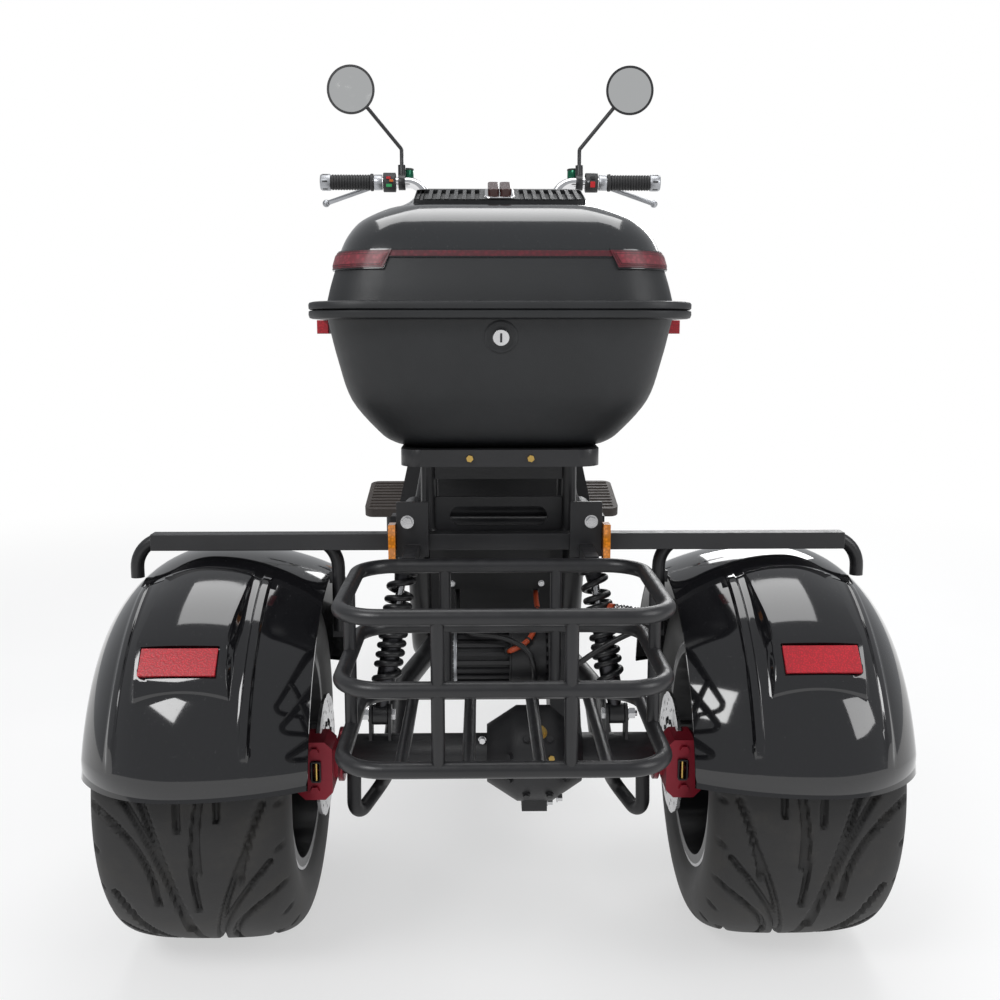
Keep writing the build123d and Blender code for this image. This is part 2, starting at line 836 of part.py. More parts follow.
# Axle housing with the final drive
with BuildPart() as axle_housing:
    with BuildSketch(Plane((0, rear_axle_y, axle_z), x_dir=(1, 0, 0), z_dir=(0, -1, 0))):
        with BuildLine():
            Polyline(
                (-axle_tube_end, 0),
                (-axle_tube_end, axle_tube_radius),
                (gear_x - banjo_half_width, axle_tube_radius),
                (gear_x - banjo_half_width, banjo_end_radius),
                (gear_x - banjo_flat, banjo_radius),
                (gear_x + banjo_flat, banjo_radius),
                (gear_x + banjo_half_width, banjo_end_radius),
                (gear_x + banjo_half_width, axle_tube_radius),
                (axle_tube_end, axle_tube_radius),
                (axle_tube_end, 0),
                close=True,
            )
        make_face()
    revolve(axis=Axis((0, rear_axle_y, axle_z), (1, 0, 0)))
    with BuildSketch(Plane.YZ.offset(motor_right)):
        with BuildLine():
            case_run = sqrt((motor_y - rear_axle_y) ** 2 + (motor_z - axle_z) ** 2)
            case_dir = Vector(motor_y - rear_axle_y, motor_z - axle_z) / case_run
            across = Vector(-case_dir.Y, case_dir.X)
            foot = Vector(rear_axle_y, axle_z)
            head = Vector(motor_y, motor_z)
            Polyline(
                foot + across * banjo_end_radius,
                head + across * motor_radius,
                head - across * motor_radius,
                foot - across * banjo_end_radius,
                close=True,
            )
        make_face()
        with Locations((motor_y, motor_z)):
            Circle(gear_case_radius)
    extrude(amount=gear_case_thickness)
    with Locations((gear_x, rear_axle_y, (block_bottom_z + axle_z) / 2)):
        Box(block_width, block_length, axle_z - block_bottom_z)
    for side in (-1, 1):
        for plate_side in (-1, 1):
            plate_x = side * (shock_foot_x + plate_side * (shock_eye_width + shock_plate + 2 * body_gap) / 2)
            with BuildSketch(Plane.YZ.offset(plate_x)):
                with Locations((rear_axle_y, (axle_z + shock_foot_z) / 2)):
                    Rectangle(2 * shock_eye_radius, shock_foot_z - axle_z)
                with Locations((rear_axle_y, shock_foot_z)):
                    Circle(shock_eye_radius)
            extrude(amount=shock_plate / 2, both=True)
        tube(
            mirrored(
                [
                    (guard_loop_x, rear_axle_y, axle_z - axle_tube_radius / 2),
                    (guard_loop_x, rear_axle_y - stay_radius, guard_loop_z),
                    (guard_loop_x - guard_loop_inward, guard_loop_front_y, guard_loop_front_z),
                    (arm_rear_x, rear_axle_y, axle_z - axle_tube_radius / 2),
                ],
                side,
            ),
            guard_loop_bend,
            guard_loop_radius,
        )
        with Locations((side * axle_tube_end, rear_axle_y, axle_z)):
            Cylinder(
                shaft_radius + run_clearance,
                2 * (axle_tube_end - shaft_inner_x + bearing_gap),
                rotation=(0, 90, 0),
                mode=Mode.SUBTRACT,
            )
save(axle_housing, "axle_housing")

# Motor, finned along its length
with BuildPart() as drive_motor:
    with BuildSketch(Plane.YZ.offset(motor_left)):
        with Locations((motor_y, motor_z)):
            Circle(motor_radius - motor_fin)
            with PolarLocations(motor_radius - motor_fin, motor_fin_count):
                Rectangle(2 * motor_fin, motor_fin)
    extrude(amount=motor_right - motor_left)
    with BuildSketch(Plane.YZ.offset(motor_left)):
        with Locations((motor_y, motor_z)):
            Circle(motor_radius + bearing_gap)
    extrude(amount=motor_flange)
save(drive_motor, "drive_motor")

# Swing arm, saddled on the axle tube
with BuildPart() as swing_arm:
    with Locations((0, pivot_y, pivot_z)):
        Cylinder(pivot_radius, 2 * (rail_x - rail_radius - body_gap), rotation=(0, 90, 0))
    for side in (-1, 1):
        tube(
            mirrored(
                [
                    (arm_front_x, pivot_y, pivot_z),
                    (arm_rear_x, (pivot_y + rear_axle_y) / 2, (pivot_z + axle_z) / 2),
                    (arm_rear_x, rear_axle_y, axle_z - arm_drop),
                ],
                side,
            ),
            rail_bend,
            arm_radius,
        )
    with Locations((0, rear_axle_y, axle_z)):
        Cylinder(
            axle_tube_radius + body_gap, 2 * axle_tube_end, rotation=(0, 90, 0), mode=Mode.SUBTRACT
        )
save(swing_arm, "swing_arm")

# Shock absorbers
for side, suffix in ((-1, "_left"), (1, "_right")):
    shock_foot = Vector(side * shock_foot_x, rear_axle_y, shock_foot_z)
    shock_top = Vector(side * shock_top_x, shock_top_y, shock_top_z)
    shock_line = shock_top - shock_foot
    shock_length = shock_line.length
    with BuildLine() as coil:
        Helix(
            pitch=(shock_length - spring_start - spring_end_gap) / spring_turns,
            height=shock_length - spring_start - spring_end_gap,
            radius=spring_radius - spring_wire,
            center=shock_foot + shock_line * (spring_start / shock_length),
            direction=shock_line,
        )
    with BuildPart() as shock:
        with BuildSketch(Plane(shock_foot, x_dir=(1, 0, 0), z_dir=shock_line)):
            Circle(shock_neck_radius)
        extrude(amount=shock_length)
        # columns: start along the shock, length, radius
        for start, run, radius in (
            (shock_neck, shock_length - 2 * shock_neck, damper_radius),
            (spring_start - spring_wire - spring_seat / 2, spring_seat + spring_wire, spring_seat_radius),
            (shock_length - spring_end_gap - spring_seat / 2, spring_seat + spring_wire, spring_seat_radius),
        ):
            place = shock_foot + shock_line * (start / shock_length)
            with BuildSketch(Plane(place, x_dir=(1, 0, 0), z_dir=shock_line)):
                Circle(radius)
            extrude(amount=run)
        with BuildSketch(Plane(origin=coil.line @ 0, z_dir=coil.line % 0)) as wire:
            Circle(spring_wire)
        sweep(sections=wire.sketch, path=coil.line, is_frenet=True)
        for place in (shock_foot, shock_top):
            with Locations(place):
                Cylinder(shock_eye_radius, shock_eye_width, rotation=(0, 90, 0))
    save(shock, f"shock{suffix}")

# Main frame
foot_mid_x = (foot_inner_x + foot_outer_x) / 2
foot_mid_y = (foot_front_y + foot_rear_y) / 2
foot_tilt = radians(foot_rise)
foot_seat_z = foot_z - foot_thickness / 2 / cos(foot_tilt) - stay_radius * tan(foot_tilt) - body_gap
with BuildPart() as main_frame:
    with BuildSketch(steering_plane(0, lower_crown_up + crown_thickness / 2 + bearing_gap)):
        Circle(head_radius)
    extrude(amount=upper_crown_up - lower_crown_up - crown_thickness - 2 * bearing_gap)
    for side in (-1, 1):
        tube(
            mirrored(
                [
                    along_steering(rail_radius, 0, neck_up),
                    (neck_x, neck_y, neck_z),
                    (rail_x, floor_front_y, floor_z),
                    (rail_x, floor_rear_y, floor_z),
                    (rail_x, tail_front_y, tail_z),
                    (rail_x, guard_y + guard_side / 2 + body_gap, tail_z),
                ],
                side,
            ),
            rail_bend,
            rail_radius,
        )
        tube(
            mirrored(
                [
                    (rail_x - rail_radius / 2, seat_rail_rear_y, tail_z),
                    (seat_rail_x, seat_rail_rear_y, seat_rail_z),
                    (seat_rail_x, seat_rail_front_y, seat_rail_z),
                    (seat_rail_x, seat_rail_front_y + rail_radius, floor_z),
                ],
                side,
            ),
            rail_bend / 2,
            seat_rail_radius,
        )
        tube(
            mirrored(
                [
                    (rail_x, foot_mid_y - rail_bend, floor_z),
                    (foot_mid_x, foot_mid_y, floor_z + rail_radius),
                    (foot_mid_x, foot_mid_y, foot_seat_z),
                ],
                side,
            ),
            rail_bend / 2,
            stay_radius,
        )
        shock_plate_x = shock_top_x + (shock_eye_width + shock_plate) / 2 + body_gap
        with Locations((side * shock_plate_x, shock_top_y, (shock_top_z + tail_z) / 2)):
            Box(shock_plate, 2 * shock_eye_radius, tail_z - shock_top_z + shock_eye_radius)
        with Locations((side * (rail_x + rail_radius), shock_top_y, tail_z)):
            Box(rail_radius, 2 * shock_eye_radius, shock_eye_radius)
    for cross_y, cross_z in (
        (floor_front_y - rail_bend, floor_z),
        ((case_front_y + case_rear_y) / 2, floor_z),
        (floor_rear_y + rail_bend, floor_z),
        (tail_front_y - rail_bend, tail_z),
    ):
        with Locations((0, cross_y, cross_z)):
            Cylinder(cross_radius, 2 * rail_x, rotation=(0, 90, 0))
    with BuildSketch(steering_plane(0, lower_crown_up)):
        Circle(steerer_radius + run_clearance)
    extrude(amount=upper_crown_up - lower_crown_up, mode=Mode.SUBTRACT)
save(main_frame, "main_frame")

# Battery case and controller
with BuildPart() as battery_case:
    with BuildSketch(Plane.XZ.offset(-case_front_y)) as outline:
        with BuildLine():
            Polyline(*case_outline, *[(-x, z) for x, z in reversed(case_outline)], close=True)
        make_face()
        fillet(outline.vertices(), case_edge)
    extrude(amount=case_front_y - case_rear_y)
save(battery_case, "battery_case")

with BuildPart() as controller_box:
    controller_top = tail_z - cross_radius - body_gap
    with Locations((0, controller_y, controller_top - controller_height / 2)):
        Box(2 * controller_half_width, controller_depth, controller_height)
    fillet(controller_box.edges().filter_by(Axis.Y), controller_edge)
    with Locations((0, controller_y, controller_ear_z)):
        Box(2 * (rail_x - rail_radius - body_gap), controller_depth / 2, controller_edge)
save(controller_box, "controller_box")

with BuildPart() as drive_cables:
    for route in cable_routes:
        tube(
            [(x, rear_axle_y + ahead, axle_z + rise) for x, ahead, rise in route],
            cable_bend,
            cable_radius,
        )
save(drive_cables, "drive_cables")

# Seat
pan_z = seat_rail_z + seat_rail_radius + body_gap
with BuildPart() as seat_pan:
    with BuildSketch(Plane((0, seat_mid_y, pan_z))):
        RectangleRounded(2 * seat_half_width - seat_edge, seat_length - seat_edge, seat_corner)
    extrude(amount=seat_pan_thickness)
save(seat_pan, "seat_pan")

with BuildPart() as seat_cushion:
    with BuildSketch(Plane((0, seat_mid_y, pan_z + seat_pan_thickness + body_gap))):
        RectangleRounded(2 * seat_half_width, seat_length, seat_corner)
    extrude(amount=seat_height)
    fillet(seat_cushion.faces().sort_by(Axis.Z)[-1].edges(), seat_edge)
save(seat_cushion, "seat_cushion")

# Footboards
with BuildPart() as footboards:
    for side in (-1, 1):
        with BuildSketch(
            Plane(
                (side * foot_mid_x, foot_mid_y, foot_z),
                x_dir=(1, 0, 0),
                z_dir=(0, -sin(foot_tilt), cos(foot_tilt)),
            )
        ):
            RectangleRounded(foot_outer_x - foot_inner_x, foot_front_y - foot_rear_y, foot_thickness)
        extrude(amount=foot_thickness / 2, both=True)
save(footboards, "footboards")

# Guard rail and its hoops over the fenders
with BuildPart() as guard_rail:
    with Locations((0, guard_y, guard_z)):
        Box(2 * guard_half_width, guard_side, guard_side)
save(guard_rail, "guard_rail")

hoop_y = guard_y + guard_side / 2 + hoop_radius + body_gap
fender_foot_z = axle_z + sqrt(hoop_foot_radius**2 - (rear_axle_y - hoop_y) ** 2)
with BuildPart() as guard_hoops:
    for side in (-1, 1):
        tube(
            mirrored(
                [
                    (hoop_inner_x, hoop_y, hoop_inner_z),
                    (hoop_inner_x, hoop_y, guard_z),
                    (hoop_outer_x, hoop_y, guard_z),
                    (hoop_outer_x, hoop_y, fender_foot_z),
                ],
                side,
            ),
            hoop_bend,
            hoop_radius,
        )
        with Locations((side * hoop_inner_x, hoop_y, hoop_inner_z)):
            Box(2 * hoop_radius, hoop_radius, 2 * hoop_radius)
        lug_z = axle_z + sqrt((fender_inner_radius - fender_wall / 2) ** 2 - (rear_axle_y - hoop_y) ** 2)
        with Locations((side * (hoop_inner_x + fender_inner_x - body_gap) / 2, hoop_y, lug_z)):
            Box(fender_inner_x - body_gap - hoop_inner_x, hoop_radius, hoop_lug)
save(guard_hoops, "guard_hoops")

# Brackets that carry the basket
with BuildPart() as mount_brackets:
    plate_y = guard_y - guard_side / 2 - body_gap - plate_thickness / 2
    arm_length = plate_y - basket_front_y - body_gap
    for side in (-1, 1):
        plate_x = side * (plate_inner_x + plate_outer_x) / 2
        with Locations((plate_x, plate_y, (plate_bottom_z + plate_top_z) / 2)):
            Box(plate_outer_x - plate_inner_x, plate_thickness, plate_top_z - plate_bottom_z)
        with Locations((plate_x, plate_y - arm_length / 2, basket_ring_z[2])):
            Box(bolt_tab, arm_length, bolt_tab)
save(mount_brackets, "mount_brackets")

with BuildPart() as rear_lamps:
    for side in (-1, 1):
        with Locations(
            (
                side * (plate_outer_x + body_gap + lamp_width / 2),
                guard_y - (guard_side + lamp_depth) / 2 - body_gap,
                (lamp_top_z + lamp_bottom_z) / 2,
            )
        ):
            Box(lamp_width, lamp_depth, lamp_top_z - lamp_bottom_z)
save(rear_lamps, "rear_lamps")

# Basket of three bent rings, uprights and floor bars
with BuildPart() as basket:
    ring_x = basket_half_width - basket_ring_radius
    ring_rear_y = basket_rear_y + basket_ring_radius
    ring_front_y = basket_front_y - basket_ring_radius
    ring_mid_y = (ring_rear_y + ring_front_y) / 2
    for ring_z in basket_ring_z:
        with BuildLine() as ring:
            FilletPolyline(
                (-ring_x, ring_rear_y, ring_z),
                (ring_x, ring_rear_y, ring_z),
                (ring_x, ring_front_y, ring_z),
                (-ring_x, ring_front_y, ring_z),
                radius=basket_corner,
                close=True,
            )
        with BuildSketch(Plane(origin=ring.line @ 0, z_dir=ring.line % 0)):
            Circle(basket_ring_radius)
        sweep(path=ring.line)
    upright_height = basket_ring_z[2] - basket_ring_z[0]
    uprights = [(x, y) for x in (-basket_upright_x, basket_upright_x) for y in (ring_rear_y, ring_front_y)]
    uprights += [(x, ring_mid_y) for x in (-ring_x, ring_x)]
    with Locations(*[(x, y, basket_ring_z[0]) for x, y in uprights]):
        Cylinder(basket_bar_radius, upright_height, align=(Align.CENTER, Align.CENTER, Align.MIN))
    for floor_x in basket_floor_x:
        with Locations(*[(x, ring_mid_y, basket_ring_z[0]) for x in (-floor_x, floor_x)]):
            Cylinder(basket_bar_radius, ring_front_y - ring_rear_y, rotation=(90, 0, 0))
save(basket, "basket")

# Rack under the box: two hoops between the tail rails, a web, a slotted plate and a tray
rack_post_x = rail_x - rail_radius - rack_post_radius - body_gap
with BuildPart() as box_rack:
    for hoop_place_y in (rack_rear_y, rack_front_y):
        tube(
            [
                (-rack_post_x, hoop_place_y, rack_bottom_z),
                (-rack_post_x, hoop_place_y, rack_hoop_z),
                (rack_post_x, hoop_place_y, rack_hoop_z),
                (rack_post_x, hoop_place_y, rack_bottom_z),
            ],
            rack_hoop_bend,
            rack_post_radius,
        )
    with Locations((0, rack_rear_y, rack_bottom_z - rack_web_height / 2)):
        Box(2 * rack_post_x, rack_web_thickness, rack_web_height)
    with BuildSketch(Plane.XZ.offset(-rack_rear_y - rack_web_thickness / 2)):
        with Locations((0, slot_z)):
            Rectangle(2 * rack_post_x, 2 * slot_width)
            SlotOverall(slot_length, slot_width, mode=Mode.SUBTRACT)
    extrude(amount=rack_web_thickness)
    with BuildSketch(Plane((0, box_y, rack_bottom_z))):
        RectangleRounded(2 * rack_half_width, 2 * rack_half_length, rack_corner)
    extrude(amount=rack_top_z - rack_bottom_z)
save(box_rack, "box_rack")

# Top box: tapered tub with a rim band, hollow, its hinge ears at the front
seam_low_z = seam_z - seam_gap / 2
seam_high_z = seam_z + seam_gap / 2
hinge_y = box_y + band_half_length + hinge_radius + bearing_gap


def hollow_sections(sections, raised, low, high):
    """The inside of a table of sections, raised by a wall and cut off level at both ends."""
    return [(min(max(height + raised, low), high), *rest) for height, *rest in sections]


with BuildPart() as box_body:
    rounded_loft(box_sections, box_y, rack_top_z, 0, Mode.ADD)
    with BuildSketch(Plane((0, box_y, seam_low_z - band_height))):
        RectangleRounded(2 * band_half_width, 2 * band_half_length, band_corner)
    extrude(amount=band_height)
    rounded_loft(
        hollow_sections(box_sections, box_wall, box_wall, tub_height),
        box_y,
        rack_top_z,
        box_wall,
        Mode.SUBTRACT,
    )
    with BuildSketch(Plane((0, box_y, rack_top_z + box_sections[-1][0] - bearing_gap))):
        RectangleRounded(
            2 * (box_sections[-1][1] - 2 * box_wall),
            2 * (box_sections[-1][2] - 2 * box_wall),
            box_sections[-1][3] - 2 * box_wall,
        )
    extrude(amount=band_height + 2 * bearing_gap + seam_gap, mode=Mode.SUBTRACT)
    for side in (-1, 1):
        for ear in (-1, 1):
            ear_x = side * hinge_x + ear * hinge_pitch
            with Locations((ear_x, hinge_y, seam_z)):
                Cylinder(hinge_radius, hinge_ear_width, rotation=(0, 90, 0))
            with Locations((ear_x, (hinge_y + box_y + band_half_length) / 2, seam_low_z - band_height / 2)):
                Box(hinge_ear_width, hinge_y - box_y - band_half_length, band_height - 2 * bearing_gap)
        with Locations((side * hinge_x, hinge_y, seam_z)):
            Cylinder(hinge_pin_radius, 2 * hinge_pitch, rotation=(0, 90, 0))
save(box_body, "box_body")

# Lid: a dome of ruled sections, its inside the same sections a wall lower, with ribs on its slope
slope_low, slope_high = lid_sections[-2], lid_sections[-1]
slope_low_y = box_y + slope_low[4] - slope_low[2]
slope_high_y = box_y + slope_high[4] - slope_high[2]
slope_run = slope_high_y - slope_low_y
slope_lift = slope_high[0] - slope_low[0]
slope_length = sqrt(slope_run**2 + slope_lift**2)
slope_plane = Plane(
    origin=(0, (slope_low_y + slope_high_y) / 2, seam_z + (slope_low[0] + slope_high[0]) / 2),
    x_dir=(1, 0, 0),
    z_dir=(0, -slope_lift / slope_length, slope_run / slope_length),
)
with BuildPart() as box_lid:
    rounded_loft(lid_sections, box_y, seam_z, 0, Mode.ADD)
    with BuildSketch(Plane((0, box_y, seam_high_z))):
        RectangleRounded(2 * band_half_width, 2 * band_half_length, band_corner)
    extrude(amount=band_height)
    rounded_loft(
        hollow_sections(lid_sections, -box_wall, 0, lid_sections[-1][0] - box_wall),
        box_y,
        seam_z,
        box_wall,
        Mode.SUBTRACT,
    )
    with BuildSketch(Plane((0, box_y, seam_z))):
        RectangleRounded(
            2 * (lid_sections[0][1] - 2 * box_wall),
            2 * (lid_sections[0][2] - 2 * box_wall),
            lid_sections[0][3] - 2 * box_wall,
        )
    extrude(amount=band_height + 2 * bearing_gap, mode=Mode.SUBTRACT)
    hinge_mid_y = (hinge_y + box_y + band_half_length) / 2
    for side in (-1, 1):
        with Locations((side * hinge_x, hinge_mid_y, seam_high_z + band_height / 2)):
            Box(hinge_knuckle_width, hinge_y - box_y - band_half_length, band_height - 2 * bearing_gap)
        with Locations((side * hinge_x, hinge_y, seam_z)):
            Cylinder(hinge_radius, hinge_knuckle_width, rotation=(0, 90, 0))
            Cylinder(
                hinge_pin_radius + run_clearance,
                hinge_knuckle_width + overrun,
                rotation=(0, 90, 0),
                mode=Mode.SUBTRACT,
            )
    with BuildSketch(slope_plane.offset(-rib_root)):
        with Locations((-rib_group_x, 0), (rib_group_x, 0)):
            with GridLocations(rib_pitch, 0, rib_count, 1):
                Rectangle(rib_width, rib_length)
    extrude(amount=rib_root + rib_height)
save(box_lid, "box_lid")


def lid_outline(height, grow):
    """The lid's section at a height, grown all round: height, half width, half length, corner, shift."""
    for low, high in zip(lid_sections, lid_sections[1:]):
        if low[0] <= height <= high[0]:
            share = (height - low[0]) / (high[0] - low[0])
            half_width, half_length, corner, shift = (
                start + share * (end - start) for start, end in zip(low[1:], high[1:])
            )
    return height, half_width + grow, half_length + grow, corner + grow, shift


def lid_band(heights, lift):
    """A band standing off the lid between two heights, round its back."""
    with BuildPart(mode=Mode.PRIVATE) as band:
        rounded_loft([lid_outline(height, lift) for height in heights], box_y, seam_z, 0, Mode.ADD)
        rounded_loft([lid_outline(height, body_gap) for height in heights], box_y, seam_z, 0, Mode.SUBTRACT)
        split(bisect_by=Plane((0, box_y - lid_lamp_front, 0), z_dir=(0, -1, 0)), keep=Keep.TOP)
    return band.part


# Lamp strip round the lid's back, taller at both ends, where it is cut off aslant
with BuildPart() as lid_lamp:
    add(lid_band(end_lamp_rises, end_lamp_lift))
    with BuildSketch(Plane.XZ.offset(-box_y)):
        with BuildLine():
            Polyline(
                (-end_lamp_inner_x - end_lamp_slant, seam_z),
                (-end_lamp_inner_x, seam_z + end_lamp_rises[1] + overrun),
                (end_lamp_inner_x, seam_z + end_lamp_rises[1] + overrun),
                (end_lamp_inner_x + end_lamp_slant, seam_z),
                close=True,
            )
        make_face()
    extrude(amount=2 * band_half_length, mode=Mode.SUBTRACT)
    add(lid_band(lid_lamp_rises, lid_lamp_lift))
save(lid_lamp, "lid_lamp")

# Grip on the lid's slope
with BuildPart() as lid_handle:
    with BuildSketch(slope_plane.offset(body_gap)):
        RectangleRounded(handle_width, handle_length, handle_height / 2)
    extrude(amount=handle_height / 2)
    with BuildSketch(slope_plane.offset(body_gap + handle_height / 2)):
        with GridLocations(handle_width / 2, 0, 2, 1):
            RectangleRounded(handle_width / 3, handle_length - handle_height, handle_height / 4)
    extrude(amount=handle_height / 2)
save(lid_handle, "lid_handle")

# Lock on the back of the tub
knee, brim = box_sections[2], box_sections[3]
lock_share = (lock_z - rack_top_z - knee[0]) / (brim[0] - knee[0])
lock_y = box_y - knee[2] - lock_share * (brim[2] - knee[2])
lock_run = brim[2] - knee[2]
lock_rise = brim[0] - knee[0]
lock_slope = sqrt(lock_run**2 + lock_rise**2)
lock_plane = Plane(
    origin=(0, lock_y, lock_z),
    x_dir=(1, 0, 0),
    z_dir=(0, -lock_rise / lock_slope, -lock_run / lock_slope),
)
with BuildPart() as box_lock:
    with BuildSketch(lock_plane.offset(body_gap)):
        RectangleRounded(lock_plate, lock_plate, lock_plate / 3)
    extrude(amount=lock_plate_thickness)
    with BuildSketch(lock_plane.offset(body_gap + lock_plate_thickness)):
        Circle(lock_radius)
    extrude(amount=lock_proud)
save(box_lock, "box_lock")

with BuildPart() as side_latches:
    for side in (-1, 1):
        with Locations((side * latch_x, box_y, seam_low_z - band_height - body_gap - latch_height / 2)):
            Box(latch_width, latch_length, latch_height)
save(side_latches, "side_latches")

# Fork
with BuildPart() as fork_legs:
    for side in (-1, 1):
        with BuildSketch(steering_plane(fork_offset, -leg_radius - overrun, side * leg_x)):
            Circle(leg_radius)
        extrude(amount=leg_top_up - lower_leg_gap + leg_radius + overrun)
        with BuildSketch(steering_plane(fork_offset, leg_top_up - lower_leg_gap, side * leg_x)):
            Circle(stanchion_radius)
        extrude(amount=upper_crown_up + crown_thickness - leg_top_up + lower_leg_gap)
    with Locations((0, front_axle_y, axle_z)):
        Cylinder(
            shaft_radius + run_clearance, 2 * (leg_x + leg_radius), rotation=(0, 90, 0), mode=Mode.SUBTRACT
        )
save(fork_legs, "fork_legs")

with BuildPart() as front_axle:
    with Locations((0, front_axle_y, axle_z)):
        Cylinder(shaft_radius, 2 * (leg_x + leg_radius + body_gap), rotation=(0, 90, 0))
    disc_inner_x = front_disc_offset - disc_thickness / 2
    for side, inner_x in ((1, hub_outer + bearing_gap), (-1, disc_inner_x + bearing_gap)):
        outer_x = leg_x - leg_radius - body_gap
        with Locations((side * (inner_x + outer_x) / 2, front_axle_y, axle_z)):
            Cylinder(collar_radius, outer_x - inner_x, rotation=(0, 90, 0))
        with Locations((side * (leg_x + leg_radius + body_gap + shaft_nut_length / 2), front_axle_y, axle_z)):
            Cylinder(collar_radius, shaft_nut_length, rotation=(0, 90, 0))
save(front_axle, "front_axle")

with BuildPart() as fork_crowns:
    for crown_up in (lower_crown_up, upper_crown_up):
        with BuildSketch(steering_plane(0, crown_up)) as crown:
            with Locations((-leg_x, fork_offset), (leg_x, fork_offset)):
                Circle(crown_radius)
            Circle(crown_radius)
            make_hull()
        extrude(amount=crown_thickness / 2, both=True)
    with BuildSketch(steering_plane(0, lower_crown_up)):
        Circle(steerer_radius)
    extrude(amount=upper_crown_up - lower_crown_up)
    for side in (-1, 1):
        tube(
            [
                along_steering(side * riser_x, riser_ahead, upper_crown_up),
                (side * riser_x, bar_low_y, bar_low_z - clamp_size / 2 - body_gap),
            ],
            0,
            riser_radius,
        )
        with BuildSketch(steering_plane(fork_offset, 0, side * leg_x)):
            Circle(stanchion_radius + run_clearance)
        extrude(amount=2 * upper_crown_up, mode=Mode.SUBTRACT)
save(fork_crowns, "fork_crowns")

# Handlebar with its clamps
with BuildPart() as handlebar:
    tube(
        [
            (-bar_half_width, bar_y, bar_z),
            (-bar_straight_x, bar_y, bar_z),
            (-bar_drop_x, bar_low_y, bar_low_z),
            (bar_drop_x, bar_low_y, bar_low_z),
            (bar_straight_x, bar_y, bar_z),
            (bar_half_width, bar_y, bar_z),
        ],
        bar_bend,
        bar_radius,
    )
    with Locations((-riser_x, bar_low_y, bar_low_z), (riser_x, bar_low_y, bar_low_z)):
        Box(clamp_size - 2 * body_gap, clamp_size, clamp_size)
save(handlebar, "handlebar")


def on_bars(x, width, radius, bore):
    """Adds a sleeve on each end of the bars to the open piece."""
    for side in (-1, 1):
        with Locations((side * x, bar_y, bar_z)):
            Cylinder(radius, width, rotation=(0, 90, 0))
            Cylinder(bore, width + overrun, rotation=(0, 90, 0), mode=Mode.SUBTRACT)


bar_bore = bar_radius + run_clearance
with BuildPart() as grips:
    on_bars(bar_half_width - grip_length / 2, grip_length, grip_radius, bar_bore)
    rib_step = (grip_length - grip_rib_width) / (grip_rib_count - 1)
    for rib in range(grip_rib_count):
        rib_x = bar_half_width - grip_rib_width / 2 - rib * rib_step
        on_bars(rib_x, grip_rib_width, grip_rib_radius, bar_bore)
save(grips, "grips")

with BuildPart() as brake_levers:
    master_y = bar_y + master_ahead
    for side in (-1, 1):
        with Locations((side * perch_x, (bar_y + master_y) / 2, bar_z)):
            Box(perch_width, master_ahead, perch_radius)
        with Locations((side * (perch_x + reservoir_x) / 2, master_y, bar_z)):
            Cylinder(master_radius, perch_x - reservoir_x, rotation=(0, 90, 0))
        tube(
            mirrored(
                [
                    (perch_x, master_y, bar_z),
                    (perch_x + grip_radius, master_y + master_radius, bar_z - lever_radius),
                    (lever_tip_x, bar_y + lever_tip_ahead, bar_z - lever_tip_drop),
                ],
                side,
            ),
            grip_radius / 2,
            lever_radius,
        )
        with Locations((side * lever_tip_x, bar_y + lever_tip_ahead, bar_z - lever_tip_drop)):
            Sphere(lever_ball_radius)
    on_bars(perch_x, perch_width, perch_radius, bar_bore)
save(brake_levers, "brake_levers")

with BuildPart() as brake_reservoirs:
    for side in (-1, 1):
        with Locations((side * (reservoir_x + reservoir_radius), master_y, bar_z + master_radius + body_gap)):
            Cylinder(reservoir_radius, reservoir_height, align=(Align.CENTER, Align.CENTER, Align.MIN))
save(brake_reservoirs, "brake_reservoirs")

with BuildPart() as switch_pods:
    on_bars(pod_x, pod_width, pod_radius, bar_bore)
save(switch_pods, "switch_pods")

# Mirrors


def mirror_plane(side):
    """The plane of a mirror's rim, facing forward."""
    return Plane((side * mirror_x, bar_y - mirror_depth / 2, mirror_z), x_dir=(1, 0, 0), z_dir=(0, 1, 0))


with BuildPart() as mirrors:
    for side in (-1, 1):
        tube(
            mirrored(
                [
                    (stem_foot_x, bar_y, bar_z + bar_radius),
                    (stem_foot_x, bar_y, stem_knee_z),
                    (mirror_x - mirror_radius / 2, bar_y, mirror_z - mirror_radius / 2),
                ],
                side,
            ),
            stem_base_radius,
            stem_radius,
        )
        with Locations((side * stem_foot_x, bar_y, bar_z + bar_radius + 2 * body_gap)):
            Cylinder(stem_base_radius, stem_base_length, align=(Align.CENTER, Align.CENTER, Align.MIN))
        with BuildSketch(mirror_plane(side)):
            Circle(mirror_radius)
        extrude(amount=mirror_depth, taper=mirror_taper)
        with BuildSketch(mirror_plane(side)):
            Circle(glass_radius + body_gap)
        extrude(amount=glass_thickness + body_gap, mode=Mode.SUBTRACT)
    on_bars(stem_foot_x, stem_clamp_width, perch_radius, bar_bore)
save(mirrors, "mirrors")

with BuildPart() as mirror_glass:
    for side in (-1, 1):
        with BuildSketch(mirror_plane(side)):
            Circle(glass_radius)
        extrude(amount=glass_thickness)
save(mirror_glass, "mirror_glass")

# Instrument above the middle of the bars
with BuildPart() as display:
    with BuildSketch(Plane((0, bar_low_y, bar_low_z + bar_radius + body_gap))):
        Rectangle(2 * bar_radius, 2 * bar_radius)
    extrude(amount=display_z - bar_low_z - bar_radius - body_gap)
    with Locations((0, bar_low_y, display_z)):
        Cylinder(display_radius, display_thickness)
save(display, "display")

